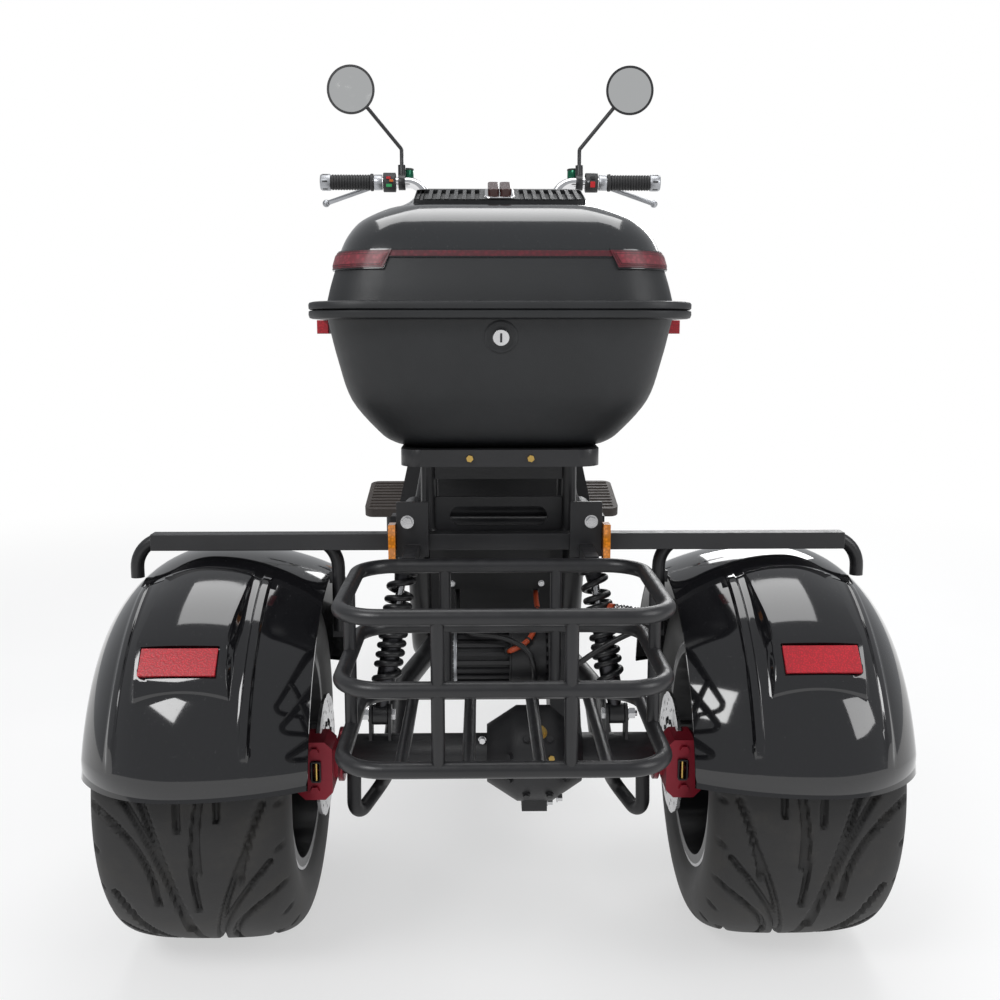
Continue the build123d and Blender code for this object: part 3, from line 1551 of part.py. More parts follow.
# Headlight between the stanchions
ear_up = (upper_crown_up + lower_crown_up) / 2
headlight_back = Plane((0, headlight_back_y, headlight_z), x_dir=(1, 0, 0), z_dir=(0, 1, 0))
with BuildPart() as headlight:
    with BuildSketch(headlight_back):
        Circle(headlight_radius * headlight_back_share)
    with BuildSketch(headlight_back.offset(headlight_length)):
        Circle(headlight_radius)
    loft()
    with BuildSketch(headlight_back.offset(headlight_length + overrun)):
        Circle(headlight_radius - headlight_wall)
    extrude(amount=-lens_thickness - overrun - body_gap, mode=Mode.SUBTRACT)
    for side in (-1, 1):
        with BuildSketch(steering_plane(fork_offset, ear_up, side * leg_x)):
            Circle(ear_radius)
        extrude(amount=ear_width / 2, both=True)
        tube(
            [
                along_steering(side * (leg_x - ear_radius + overrun), fork_offset, ear_up),
                (side * headlight_radius / 2, headlight_back_y + headlight_length / 3, headlight_z),
            ],
            0,
            stay_radius,
        )
        with BuildSketch(steering_plane(fork_offset, 0, side * leg_x)):
            Circle(stanchion_radius + run_clearance)
        extrude(amount=2 * upper_crown_up, mode=Mode.SUBTRACT)
save(headlight, "headlight")

with BuildPart() as headlight_lens:
    with BuildSketch(headlight_back.offset(headlight_length)):
        Circle(headlight_radius - headlight_wall - body_gap)
    extrude(amount=-lens_thickness)
save(headlight_lens, "headlight_lens")

with BuildPart() as front_lamps:
    for side in (-1, 1):
        lamp_at = along_steering(side * turn_lamp_x, fork_offset, turn_lamp_up)
        stem_at = along_steering(side * (leg_x + stanchion_radius + body_gap), fork_offset, turn_lamp_up)
        with Locations(lamp_at):
            Cylinder(turn_lamp_radius, turn_lamp_length, rotation=(90, 0, 0))
        tube(
            [lamp_at, stem_at],
            0,
            turn_stem_radius,
        )
save(front_lamps, "front_lamps")

# Front fender on stays from the lower legs
with BuildPart() as front_fender:
    with BuildSketch(
        Plane(
            (0, front_axle_y, axle_z),
            x_dir=(1, 0, 0),
            z_dir=(0, -cos(radians(front_fender_rear)), -sin(radians(front_fender_rear))),
        )
    ):
        with BuildLine():
            Polyline(
                (-front_fender_half_width, front_fender_edge_radius),
                (-front_fender_flat, front_fender_radius),
                (front_fender_flat, front_fender_radius),
                (front_fender_half_width, front_fender_edge_radius),
                (front_fender_half_width, front_fender_edge_radius + front_fender_wall),
                (front_fender_flat, front_fender_radius + front_fender_wall),
                (-front_fender_flat, front_fender_radius + front_fender_wall),
                (-front_fender_half_width, front_fender_edge_radius + front_fender_wall),
                close=True,
            )
        make_face()
    revolve(axis=Axis((0, front_axle_y, axle_z), (-1, 0, 0)), revolution_arc=front_fender_arc)
    stay_mid_x = leg_x - leg_radius - body_gap - front_stay_width / 2
    for side in (-1, 1):
        with BuildSketch(steering_plane(fork_offset, front_stay_up, side * stay_mid_x)):
            Rectangle(front_stay_width, front_stay_length)
        extrude(amount=front_stay_thickness / 2, both=True)
save(front_fender, "front_fender")

with BuildPart() as front_caliper:
    caliper_plane = steering_plane(fork_offset - caliper_reach, 0, -front_disc_offset)
    with BuildSketch(caliper_plane.offset(caliper_rise)) as outline:
        Rectangle(caliper_width, caliper_depth)
        chamfer(outline.vertices(), caliper_corner / 3)
    extrude(amount=caliper_height / 2, both=True)
    plate_x = leg_x - leg_radius - body_gap - bracket_thickness / 2
    with BuildSketch(steering_plane(fork_offset - caliper_reach / 2, caliper_ear_up, -plate_x)):
        Rectangle(bracket_thickness, caliper_reach + leg_radius)
    extrude(amount=bracket_radius / 3, both=True)
    with Locations((-front_disc_offset, front_axle_y, axle_z)):
        Cylinder(
            disc_radius + pad_slot,
            disc_thickness + 2 * pad_slot,
            rotation=(0, 90, 0),
            mode=Mode.SUBTRACT,
        )
save(front_caliper, "front_caliper")
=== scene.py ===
"""Electric trike scooter: its looks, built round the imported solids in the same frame, in metres."""

from math import asin, cos, degrees, exp, hypot, pi, radians, sin, sqrt, tau

import bmesh
import bpy
from bpy.props import FloatProperty, FloatVectorProperty, IntProperty, PointerProperty
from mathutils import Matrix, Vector
from mathutils.bvhtree import BVHTree


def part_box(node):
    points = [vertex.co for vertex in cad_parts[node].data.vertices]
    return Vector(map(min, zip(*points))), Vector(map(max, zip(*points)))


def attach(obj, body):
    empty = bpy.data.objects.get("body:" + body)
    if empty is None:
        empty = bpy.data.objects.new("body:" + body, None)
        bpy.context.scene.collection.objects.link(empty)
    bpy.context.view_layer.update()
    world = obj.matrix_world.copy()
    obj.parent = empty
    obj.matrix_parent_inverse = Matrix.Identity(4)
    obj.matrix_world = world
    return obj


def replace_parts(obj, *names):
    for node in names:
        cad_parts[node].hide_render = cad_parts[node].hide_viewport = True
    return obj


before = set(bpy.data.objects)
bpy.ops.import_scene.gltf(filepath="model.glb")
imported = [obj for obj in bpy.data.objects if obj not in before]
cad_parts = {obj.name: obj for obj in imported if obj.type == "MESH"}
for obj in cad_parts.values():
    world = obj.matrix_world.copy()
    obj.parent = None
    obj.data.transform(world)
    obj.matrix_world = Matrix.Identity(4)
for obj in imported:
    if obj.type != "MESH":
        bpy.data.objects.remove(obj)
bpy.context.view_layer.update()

bl_info = {
    "name": "Electric trike scooter",
    "version": (1, 0, 0),
    "blender": (4, 5, 0),
    "location": "View3D > Sidebar > Trike",
    "description": "Builds the dressed pieces of an electric trike scooter round its solids",
    "category": "Object",
}

MM = 0.001

# main places, in metres
REAR_X, REAR_Y, FRONT_Y, AXLE_Z = 0.345, -0.613, 0.767, 0.218


# Sizes and colours


class TrikeSizes(bpy.types.PropertyGroup):
    """Lengths that a user would change, in metres."""

    groove_depth: FloatProperty(
        name="Groove depth", description="Depth of the tread's grooves", default=0.006, unit="LENGTH"
    )
    groove_width: FloatProperty(
        name="Groove width", description="Width of the tread's grooves", default=0.0055, unit="LENGTH"
    )
    tread_pitches: IntProperty(
        name="Tread pitches", description="Times that the tread's pattern repeats", default=6, min=3
    )
    spring_wire: FloatProperty(
        name="Spring wire", description="Radius of the shock absorbers' wire", default=0.0042, unit="LENGTH"
    )


class TrikeColours(bpy.types.PropertyGroup):
    """Base colours of the main finishes."""

    frame_black: FloatVectorProperty(
        name="Frame black",
        description="Satin powder coat of the tubes",
        default=(0.014, 0.014, 0.0155),
        subtype="COLOR",
    )
    fender_black: FloatVectorProperty(
        name="Fender black", description="Gloss of the fenders", default=(0.006, 0.006, 0.007), subtype="COLOR"
    )
    box_black: FloatVectorProperty(
        name="Box black", description="Top box mouldings", default=(0.013, 0.014, 0.0155), subtype="COLOR"
    )
    tyre_black: FloatVectorProperty(
        name="Tyre black", description="Tyre rubber", default=(0.016, 0.0155, 0.0155), subtype="COLOR"
    )
    brake_red: FloatVectorProperty(
        name="Brake red", description="Brake calipers", default=(0.25, 0.008, 0.022), subtype="COLOR"
    )
    reflector_red: FloatVectorProperty(
        name="Reflector red", description="Fender reflectors", default=(0.47, 0.006, 0.018), subtype="COLOR"
    )


def sizes():
    """The sizes set in the panel."""
    return bpy.context.scene.trike_sizes


def colours():
    """The colours set in the panel."""
    return bpy.context.scene.trike_colours


# Shader maths


class Value:
    """A socket that shader maths is written with: each operator adds its Math node."""

    def __init__(self, nodes, socket):
        self.nodes = nodes
        self.socket = socket

    def maths(self, operation, *values):
        """The result of one Math node."""
        return self.nodes.node("ShaderNodeMath", {"operation": operation}, dict(enumerate(values)))

    def __add__(self, other):
        return self.maths("ADD", self, other)

    def __radd__(self, other):
        return self.maths("ADD", other, self)

    def __sub__(self, other):
        return self.maths("SUBTRACT", self, other)

    def __rsub__(self, other):
        return self.maths("SUBTRACT", other, self)

    def __mul__(self, other):
        return self.maths("MULTIPLY", self, other)

    def __rmul__(self, other):
        return self.maths("MULTIPLY", other, self)

    def __pow__(self, other):
        return self.maths("POWER", self, other)

    def root(self):
        """The square root."""
        return self.maths("SQRT", self)

    def either(self, other):
        """The larger of two values."""
        return self.maths("MAXIMUM", self, other)

    def beside(self, output):
        """Another output of the node that this value comes from."""
        return Value(self.nodes, self.socket.node.outputs[output])

    def step(self, low, high):
        """0 below low, 1 above high and smooth between."""
        settings = {"interpolation_type": "SMOOTHSTEP"}
        inputs = {"Value": self, "From Min": low, "From Max": high}
        return self.nodes.node("ShaderNodeMapRange", settings, inputs)


class Nodes:
    """A node tree and the one way in which its nodes are made."""

    def __init__(self, owner):
        owner.use_nodes = True
        self.tree = owner.node_tree

    def node(self, kind, settings=None, inputs=None, output=0):
        """A node of that kind: its settings first, then the values or links of its sockets."""
        made = self.tree.nodes.new(kind)
        for name, value in (settings or {}).items():
            setattr(made, name, value)
        for name, value in (inputs or {}).items():
            if isinstance(value, Value):
                self.tree.links.new(value.socket, made.inputs[name])
            else:
                made.inputs[name].default_value = value
        return Value(self, made.outputs[output])

    def show(self, value):
        """Makes a shader what the tree gives out."""
        end = next(n for n in self.tree.nodes if n.bl_idname.startswith("ShaderNodeOutput"))
        self.tree.links.new(value.socket, end.inputs["Surface"])


class Finish(Nodes):
    """A material: one shader, and the nodes that vary it over the surface."""

    def __init__(self, name, colour, roughness, metallic=0.0, **uniform):
        self.material = bpy.data.materials.new(name)
        super().__init__(self.material)
        self.shader = self.tree.nodes["Principled BSDF"]
        self.set("Base Color", (*colour, 1.0))
        self.set("Roughness", roughness)
        self.set("Metallic", metallic)
        for socket, value in uniform.items():
            self.set(socket.replace("_", " "), value)

    def set(self, socket, value):
        """Gives a socket of the shader its value or link."""
        if isinstance(value, Value):
            self.tree.links.new(value.socket, self.shader.inputs[socket])
        else:
            self.shader.inputs[socket].default_value = value

    def place(self):
        """Where a point of the surface is, in the object's own frame."""
        return self.node("ShaderNodeTexCoord", output="Object")

    def axes(self):
        """The same place as three numbers: across, ahead and up."""
        across = self.node("ShaderNodeSeparateXYZ", inputs={0: self.place()})
        return across, across.beside(1), across.beside(2)

    def noise(self, scale, detail=2.0, roughness=0.5, vector=None):
        """Cloudy noise about 0.5; scale is in waves for each metre."""
        inputs = {"Vector": vector or self.place(), "Scale": scale, "Detail": detail, "Roughness": roughness}
        return self.node("ShaderNodeTexNoise", inputs=inputs)

    def cells(self, scale):
        """Distance to the nearest of many scattered points."""
        return self.node("ShaderNodeTexVoronoi", inputs={"Vector": self.place(), "Scale": scale})

    def mix(self, factor, first, second):
        """From the first colour to the second by the factor."""
        first, second = (c if isinstance(c, Value) else (*c, 1.0) for c in (first, second))
        inputs = {0: factor, 6: first, 7: second}
        return self.node("ShaderNodeMix", {"data_type": "RGBA"}, inputs, output=2)

    def bump(self, height, distance, strength=1.0):
        """Raises the surface by the height times the distance, in metres."""
        inputs = {"Height": height, "Distance": distance, "Strength": strength}
        self.set("Normal", self.node("ShaderNodeBump", inputs=inputs))


def tint(colour, factor, lift=0.0):
    """A colour made brighter by a factor and then by an even lift."""
    return tuple(min(1.0, channel * factor + lift) for channel in colour)


def coated(name, colour, roughness=0.38, grain=0.00006, grain_scale=700.0, wear=0.35, **uniform):
    """Painted or moulded surface: cloudy tone, fine grain, a little dust on what faces up."""
    made = Finish(name, colour, roughness, **uniform)
    cloud = made.noise(7.0, 4.0)
    fine = made.noise(90.0, 3.0, 0.6)
    normal = made.node("ShaderNodeNewGeometry", output="Normal")
    up = made.node("ShaderNodeSeparateXYZ", inputs={0: normal}, output=2)
    dust = up.step(0.2, 1.0) * fine.step(0.35, 0.75) * wear
    tone = made.mix(cloud.step(0.3, 0.7), tint(colour, 0.82), tint(colour, 1.22))
    made.set("Base Color", made.mix(dust, tone, tint(colour, 1.5, 0.012)))
    made.set("Roughness", roughness + (fine - 0.5) * 0.12 + dust * 0.25)
    made.bump(made.noise(grain_scale, 2.0), grain)
    return made.material


def gloss(name, colour, roughness=0.07):
    """Deep gloss: faint swirl marks, specks of dust and a slow ripple of the moulding."""
    made = Finish(name, colour, roughness, Coat_Weight=0.6, Coat_Roughness=0.04)
    cloud = made.noise(4.0, 2.0)
    specks = made.noise(420.0, 2.0, 0.7).step(0.66, 0.74)
    streak = made.noise(38.0, 4.0, 0.65)
    tone = made.mix(cloud, colour, tint(colour, 1.3))
    made.set("Base Color", made.mix(specks * 0.5, tone, tint(colour, 1.0, 0.03)))
    made.set("Roughness", roughness + specks * 0.25 + streak.step(0.55, 0.85) * 0.07)
    made.bump(made.noise(14.0, 1.0), 0.0004, 0.35)
    return made.material


def metal(name, colour, roughness=0.25, brushed=0.15, scale=260.0, grime=0.35):
    """Bare or plated metal: fine scratches along one way and dull patches."""
    made = Finish(name, colour, roughness, 1.0)
    x, y, z = made.axes()
    stretched = made.node("ShaderNodeCombineXYZ", inputs={0: x * 0.08, 1: y, 2: z})
    lines = made.noise(scale, 3.0, 0.6, stretched)
    patch = made.noise(26.0, 4.0, 0.6).step(0.45, 0.75)
    made.set("Base Color", made.mix(patch * grime, colour, tint(colour, 0.45)))
    made.set("Roughness", roughness + (lines - 0.5) * brushed + patch * 0.15)
    made.bump(lines, 0.00004)
    return made.material


def rubber(name, colour, roughness=0.62, dust_colour=(0.055, 0.05, 0.043), grain=0.00012):
    """Rubber with pale dust in cloudy patches, and the high spots of its fine grain painted lighter as a painted
    sheen.
    """
    made = Finish(name, colour, roughness)
    cloud = made.noise(16.0, 5.0, 0.65)
    fine = made.noise(330.0, 3.0, 0.7)
    # the cloudy part is pale dust; the fine part paints the grain's high spots lighter as a painted sheen
    dust = cloud.step(0.45, 0.8) * 0.45 + fine.step(0.55, 0.8) * 0.12
    made.set("Base Color", made.mix(dust, colour, dust_colour))
    made.set("Roughness", roughness + (cloud - 0.5) * 0.25)
    made.bump(fine, grain)
    return made.material


def lens(name, colour, rib, roughness=0.12, coat=1.0):
    """Coloured lens over a prism pattern, with about three ribs to a prism; its colour is painted lighter at each
    prism's middle as a painted highlight and darker towards its edges as painted shade, over a cloudy tone.
    """
    made = Finish(name, colour, roughness, Coat_Weight=coat, Coat_Roughness=0.03 + roughness / 2)
    cell = made.cells(rib / 3.0)
    deep = made.noise(24.0, 2.0)
    # painted highlight at each prism's middle and painted shade towards its edges, with a cloudy tone mixed in
    depth = cell.step(0.15, 0.6) * 0.55 + deep * 0.2
    made.set("Base Color", made.mix(depth, tint(colour, 1.25), tint(colour, 0.45)))
    made.set("Roughness", roughness + cell * 0.1)
    made.bump(cell, 0.0003, 0.35)
    return made.material


def leather(name, colour):
    """Seat cover: pebbled grain, creases and a soft sheen; the colour is painted darker in the creases' dips as
    painted shade and lighter on their tops as painted light.
    """
    made = Finish(name, colour, 0.46)
    pebble = made.cells(480.0)
    crease = made.noise(22.0, 6.0, 0.7)
    # painted shade in the creases' dips and painted light on their tops, from the same noise that bumps them
    made.set("Base Color", made.mix(crease.step(0.35, 0.75), tint(colour, 0.75), tint(colour, 1.5)))
    made.set("Roughness", 0.4 + pebble.step(0.1, 0.6) * 0.14 + crease * 0.08)
    made.bump(pebble * 0.7 + crease * 0.6, 0.0004, 0.6)
    return made.material


def clear(name):
    """Clear moulded lens."""
    made = Finish(name, (0.92, 0.94, 0.95), 0.03, Transmission_Weight=0.92, IOR=1.45)
    made.set("Roughness", 0.02 + made.noise(60.0, 3.0).step(0.5, 0.9) * 0.05)
    made.bump(made.noise(30.0, 1.0), 0.0003, 0.2)
    return made.material


def wheel_black(name, centre_y):
    """Black cast wheel whose turned lip and outer edge are bright."""
    made = Finish(name, (0.012, 0.012, 0.013), 0.3, 0.4)
    x, y, z = made.axes()
    radius = ((y - centre_y) ** 2 + (z - AXLE_Z) ** 2).root()
    lip = radius.step(0.1365, 0.1375)
    fine = made.noise(120.0, 3.0)
    cast = made.mix(fine, (0.010, 0.010, 0.011), (0.02, 0.02, 0.022))
    made.set("Base Color", made.mix(lip, cast, (0.3, 0.3, 0.31)))
    made.set("Metallic", 0.35 + lip * 0.65)
    made.set("Roughness", 0.34 - lip * 0.16 + (fine - 0.5) * 0.1)
    made.bump(made.noise(500.0, 2.0), 0.00006)
    return made.material


finishes = {}


def finish(name):
    """The finish of that name, made on its first use."""
    if name not in finishes:
        tones = colours()
        recipes = {
            "powder_coat": lambda: coated(name, tuple(tones.frame_black), 0.36),
            "cast_black": lambda: coated(name, tuple(tones.frame_black), 0.48, 0.0002, 260.0),
            "fender_gloss": lambda: gloss(name, tuple(tones.fender_black)),
            "box_gloss": lambda: gloss(name, tuple(tones.box_black), 0.14),
            "box_matt": lambda: coated(name, tuple(tones.box_black), 0.5, 0.00012, 1100.0, 0.25),
            "case_matt": lambda: coated(name, (0.02, 0.02, 0.021), 0.55, 0.00015, 900.0),
            "tyre_rubber": lambda: rubber(name, tuple(tones.tyre_black)),
            "soft_rubber": lambda: rubber(name, (0.014, 0.014, 0.015), 0.55, (0.04, 0.04, 0.04)),
            "foot_rubber": lambda: rubber(name, (0.032, 0.024, 0.02), 0.6, (0.06, 0.05, 0.04)),
            "disc_steel": lambda: metal(name, (0.46, 0.46, 0.47), 0.24, 0.2, 420.0, 0.25),
            "bright_steel": lambda: metal(name, (0.62, 0.62, 0.63), 0.2, 0.1, 200.0, 0.2),
            "chrome": lambda: metal(name, (0.78, 0.78, 0.79), 0.06, 0.04, 120.0, 0.12),
            "silver_cast": lambda: metal(name, (0.42, 0.43, 0.45), 0.38, 0.1, 90.0, 0.3),
            "brass": lambda: metal(name, (0.6, 0.4, 0.12), 0.3, 0.1, 150.0, 0.4),
            "brake_red": lambda: coated(name, tuple(tones.brake_red), 0.3, 0.00008, 420.0, 0.1, Metallic=0.35),
            "dark_steel": lambda: metal(name, (0.06, 0.06, 0.065), 0.4, 0.1, 150.0, 0.2),
            "seat_leather": lambda: leather(name, (0.014, 0.014, 0.015)),
            "lamp_red": lambda: lens(name, (0.085, 0.003, 0.010), 600.0, 0.4, 0.2),
            "lamp_bright": lambda: lens(name, (0.19, 0.016, 0.028), 600.0, 0.45, 0.2),
            "reflector_red": lambda: lens(name, tuple(tones.reflector_red), 1500.0, 0.3, 0.4),
            "amber": lambda: lens(name, (0.75, 0.24, 0.015), 700.0),
            "clear_lens": lambda: clear(name),
            "mirror_face": lambda: metal(name, (0.9, 0.9, 0.88), 0.02, 0.01, 60.0, 0.03),
            "green_gloss": lambda: coated(name, (0.004, 0.11, 0.055), 0.2, 0.00003, 300.0, 0.1, Metallic=0.5),
            "brown_gloss": lambda: coated(name, (0.05, 0.015, 0.012), 0.25, 0.00004, 300.0, 0.1),
            "cable_orange": lambda: rubber(name, (0.5, 0.07, 0.02), 0.45, (0.3, 0.06, 0.03), 0.00004),
            "cable_black": lambda: rubber(name, (0.01, 0.01, 0.011), 0.4, (0.03, 0.03, 0.03), 0.00004),
            "button_red": lambda: coated(name, (0.5, 0.01, 0.015), 0.35, 0.00003, 300.0, 0.1),
            "button_green": lambda: coated(name, (0.02, 0.35, 0.1), 0.35, 0.00003, 300.0, 0.1),
            "button_orange": lambda: coated(name, (0.6, 0.12, 0.01), 0.35, 0.00003, 300.0, 0.1),
            "dial_glass": lambda: gloss(name, (0.004, 0.005, 0.008), 0.05),
            "rear_wheel_black": lambda: wheel_black(name, REAR_Y),
            "front_wheel_black": lambda: wheel_black(name, FRONT_Y),
        }
        finishes[name] = recipes[name]()
    return finishes[name]


# Mesh code


class Build:
    """Gathers the points and faces of one piece, then makes its object."""

    def __init__(self, *finish_names):
        self.finish_names = finish_names
        self.verts = []
        self.faces = []
        self.slots = []

    def add(self, verts, faces, slot=0):
        """Adds points, and faces that count from the first of them."""
        base = len(self.verts)
        self.verts += [tuple(v) for v in verts]
        self.faces += [tuple(base + i for i in face) for face in faces]
        self.slots += [slot] * len(faces)

    def grid(self, rows, slot=0, close_rows=False, close_columns=False):
        """A sheet through equal rows of points, closed either way if asked."""
        across = len(rows[0])
        faces = []
        for r in range(len(rows) if close_rows else len(rows) - 1):
            s = (r + 1) % len(rows)
            for c in range(across if close_columns else across - 1):
                d = (c + 1) % across
                faces.append((r * across + c, r * across + d, s * across + d, s * across + c))
        self.add([p for row in rows for p in row], faces, slot)

    def lathe(self, centre, axis, profile, steps=40, slot=0):
        """Turns (along, radius) points about an axis through the centre; ends at radius 0 are closed."""
        centre, axis = Vector(centre), Vector(axis).normalized()
        side = axis.orthogonal().normalized()
        other = axis.cross(side)
        rings = []
        verts = []
        for along, radius in profile:
            if radius < 1e-6:
                rings.append([len(verts)] * steps)
                verts.append(centre + axis * along)
            else:
                rings.append(list(range(len(verts), len(verts) + steps)))
                for i in range(steps):
                    angle = tau * i / steps
                    verts.append(centre + axis * along + (side * cos(angle) + other * sin(angle)) * radius)
        faces = []
        for low, high in zip(rings, rings[1:]):
            for i in range(steps):
                j = (i + 1) % steps
                corners = [low[i], low[j], high[j], high[i]]
                face = [c for k, c in enumerate(corners) if c != corners[k - 1]]
                if len(face) > 2:
                    faces.append(face)
        self.add(verts, faces, slot)

    def bar(self, path, radius, sides=12, slot=0, closed=False):
        """A round bar through the points."""
        path = [Vector(p) for p in path]
        count = len(path)
        rows = []
        normal = None
        for i, point in enumerate(path):
            before = path[i - 1] if i or closed else point
            after = path[(i + 1) % count] if i < count - 1 or closed else point
            along = (after - before).normalized()
            if normal is None:
                normal = along.orthogonal()
            normal = (normal - along * normal.dot(along)).normalized()
            other = along.cross(normal)
            turns = [tau * k / sides for k in range(sides)]
            rows.append([point + (normal * cos(t) + other * sin(t)) * radius for t in turns])
        self.grid(rows, slot, close_rows=closed, close_columns=True)
        if not closed:
            base = len(self.verts) - count * sides
            self.faces += [tuple(base + k for k in reversed(range(sides)))]
            self.faces += [tuple(base + (count - 1) * sides + k for k in range(sides))]
            self.slots += [slot, slot]

    def prism(self, origin, x_dir, z_dir, outline, depth, slot=0):
        """A flat outline, given in the plane's own x and y, made depth thick along z."""
        origin, x_dir, z_dir = Vector(origin), Vector(x_dir).normalized(), Vector(z_dir).normalized()
        y_dir = z_dir.cross(x_dir)
        count = len(outline)
        low = [origin + x_dir * x + y_dir * y for x, y in outline]
        faces = [tuple(reversed(range(count))), tuple(range(count, 2 * count))]
        faces += [(i, (i + 1) % count, count + (i + 1) % count, count + i) for i in range(count)]
        self.add(low + [p + z_dir * depth for p in low], faces, slot)

    def block(self, centre, size, slot=0, x_dir=(1, 0, 0), z_dir=(0, 0, 1)):
        """A box about its centre."""
        half_x, half_y, half_z = (s / 2 for s in size)
        outline = [(-half_x, -half_y), (half_x, -half_y), (half_x, half_y), (-half_x, half_y)]
        start = Vector(centre) - Vector(z_dir).normalized() * half_z
        self.prism(start, x_dir, z_dir, outline, size[2], slot)

    def plate(self, origin, x_dir, z_dir, outline, holes, depth, slot=0):
        """A flat outline with holes through it, made depth thick along z."""
        curve = bpy.data.curves.new("outline", "CURVE")
        curve.dimensions = "2D"
        curve.fill_mode = "BOTH"
        curve.extrude = depth / 2
        for loop in (outline, *holes):
            spline = curve.splines.new("POLY")
            spline.points.add(len(loop) - 1)
            for point, (x, y) in zip(spline.points, loop):
                point.co = (x, y, 0.0, 1.0)
            spline.use_cyclic_u = True
        holder = bpy.data.objects.new("outline", curve)
        flat = bpy.data.meshes.new_from_object(holder)
        origin, x_dir, z_dir = Vector(origin), Vector(x_dir).normalized(), Vector(z_dir).normalized()
        y_dir = z_dir.cross(x_dir)
        verts = [origin + x_dir * v.co.x + y_dir * v.co.y + z_dir * (v.co.z + depth / 2) for v in flat.vertices]
        self.add(verts, [tuple(f.vertices) for f in flat.polygons], slot)
        bpy.data.meshes.remove(flat)
        bpy.data.objects.remove(holder)
        bpy.data.curves.remove(curve)

    def bolt(self, centre, axis, across=0.012, height=0.007, slot=0, washer=True):
        """A hex head on a washer, standing on the centre along the axis."""
        axis = Vector(axis).normalized()
        start = Vector(centre)
        if washer:
            thick, reach = 0.0015, across * 0.72
            self.lathe(start, axis, [(0, 0), (0, reach), (thick, reach), (thick, 0)], 24, slot)
            start = start + axis * thick
        corner = across / 2 / cos(pi / 6)
        outline = [(corner * cos(tau * i / 6), corner * sin(tau * i / 6)) for i in range(6)]
        self.prism(start, axis.orthogonal(), axis, outline, height, slot)

    def done(self, name, body, sharp=35.0, bevel=None):
        """Makes the piece, which rides on the body, with edges sharper than an angle kept crisp."""
        mesh = bpy.data.meshes.new(name)
        mesh.from_pydata(self.verts, [], self.faces)
        mesh.update()
        for finish_name in self.finish_names:
            mesh.materials.append(finish(finish_name))
        mesh.polygons.foreach_set("material_index", self.slots)
        sheet = bmesh.new()
        sheet.from_mesh(mesh)
        bmesh.ops.recalc_face_normals(sheet, faces=sheet.faces)
        sheet.to_mesh(mesh)
        sheet.free()
        mesh.shade_smooth()
        mesh.set_sharp_from_angle(angle=radians(sharp))
        made = bpy.data.objects.new(name, mesh)
        bpy.context.scene.collection.objects.link(made)
        if bevel:
            round_edges(made, bevel)
        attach(made, body)
        return made


def round_edges(obj, width):
    """Rounds the edges that turn by more than 40 degrees."""
    edges = obj.modifiers.new("Rounded edges", "BEVEL")
    edges.width = width
    edges.segments = 2
    edges.limit_method = "ANGLE"
    edges.angle_limit = radians(40.0)
    edges.harden_normals = True


def smooth_line(points, steps=8):
    """Points of an even curve that passes through the given ones."""
    points = [Vector(p) for p in points]
    line = []
    for i, (here, after) in enumerate(zip(points, points[1:])):
        before = points[i - 1] if i else here * 2 - after
        beyond = points[i + 2] if i < len(points) - 2 else after * 2 - here
        first = after - before
        second = before * 2 - here * 5 + after * 4 - beyond
        third = here * 3 - before - after * 3 + beyond
        for t in (k / steps for k in range(steps)):
            line.append(0.5 * (here * 2 + first * t + second * t * t + third * t * t * t))
    return line + [points[-1]]


def circle(radius, steps=24, x=0.0, y=0.0):
    """Points round a circle."""
    return [(x + radius * cos(tau * i / steps), y + radius * sin(tau * i / steps)) for i in range(steps)]


def rounded(half_x, half_y, corner, steps=6, x=0.0, y=0.0):
    """Points of a rounded rectangle, the same count whatever its size."""
    loop = []
    for centre_x, centre_y, start in (
        (half_x - corner, half_y - corner, 0),
        (corner - half_x, half_y - corner, 90),
        (corner - half_x, corner - half_y, 180),
        (half_x - corner, corner - half_y, 270),
    ):
        for k in range(steps + 1):
            angle = radians(start + 90 * k / steps)
            loop.append((x + centre_x + corner * cos(angle), y + centre_y + corner * sin(angle)))
    return loop


def shell_rows(sections, centre_y, steps):
    """Even rows of points through rounded rectangles: height, half width, half length, corner, shift."""
    corner_steps, side_steps = 8, 5
    loops = []
    for z, half_x, half_y, corner, shift in sections:
        loop = rounded(half_x, half_y, corner, corner_steps, 0.0, centre_y + shift)
        full = []
        for i, (x, y) in enumerate(loop):
            full.append(Vector((x, y, z)))
            if (i + 1) % (corner_steps + 1) == 0:
                after = Vector((*loop[(i + 1) % len(loop)], z))
                full += [full[-1].lerp(after, (k + 1) / (side_steps + 1)) for k in range(side_steps)]
        loops.append(full)
    columns = [smooth_line(column, steps) for column in zip(*loops)]
    return [list(row) for row in zip(*columns)]


def ramp(value, low, high):
    """0 below low, 1 above high, smooth between."""
    share = min(1.0, max(0.0, (value - low) / (high - low)))
    return share * share * (3 - 2 * share)


def dress(node, *finish_names, bevel=0.0):
    """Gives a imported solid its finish, and rounds its edges a little."""
    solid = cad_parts[node]
    solid.data.materials.clear()
    for finish_name in finish_names:
        solid.data.materials.append(finish(finish_name))
    if bevel:
        weld = solid.modifiers.new("Joined points", "WELD")
        weld.merge_threshold = 0.00001
        round_edges(solid, bevel)
    return solid


def ray_tree(mesh):
    """A search tree of a mesh's faces."""
    return BVHTree.FromPolygons([v.co for v in mesh.vertices], [tuple(p.vertices) for p in mesh.polygons])


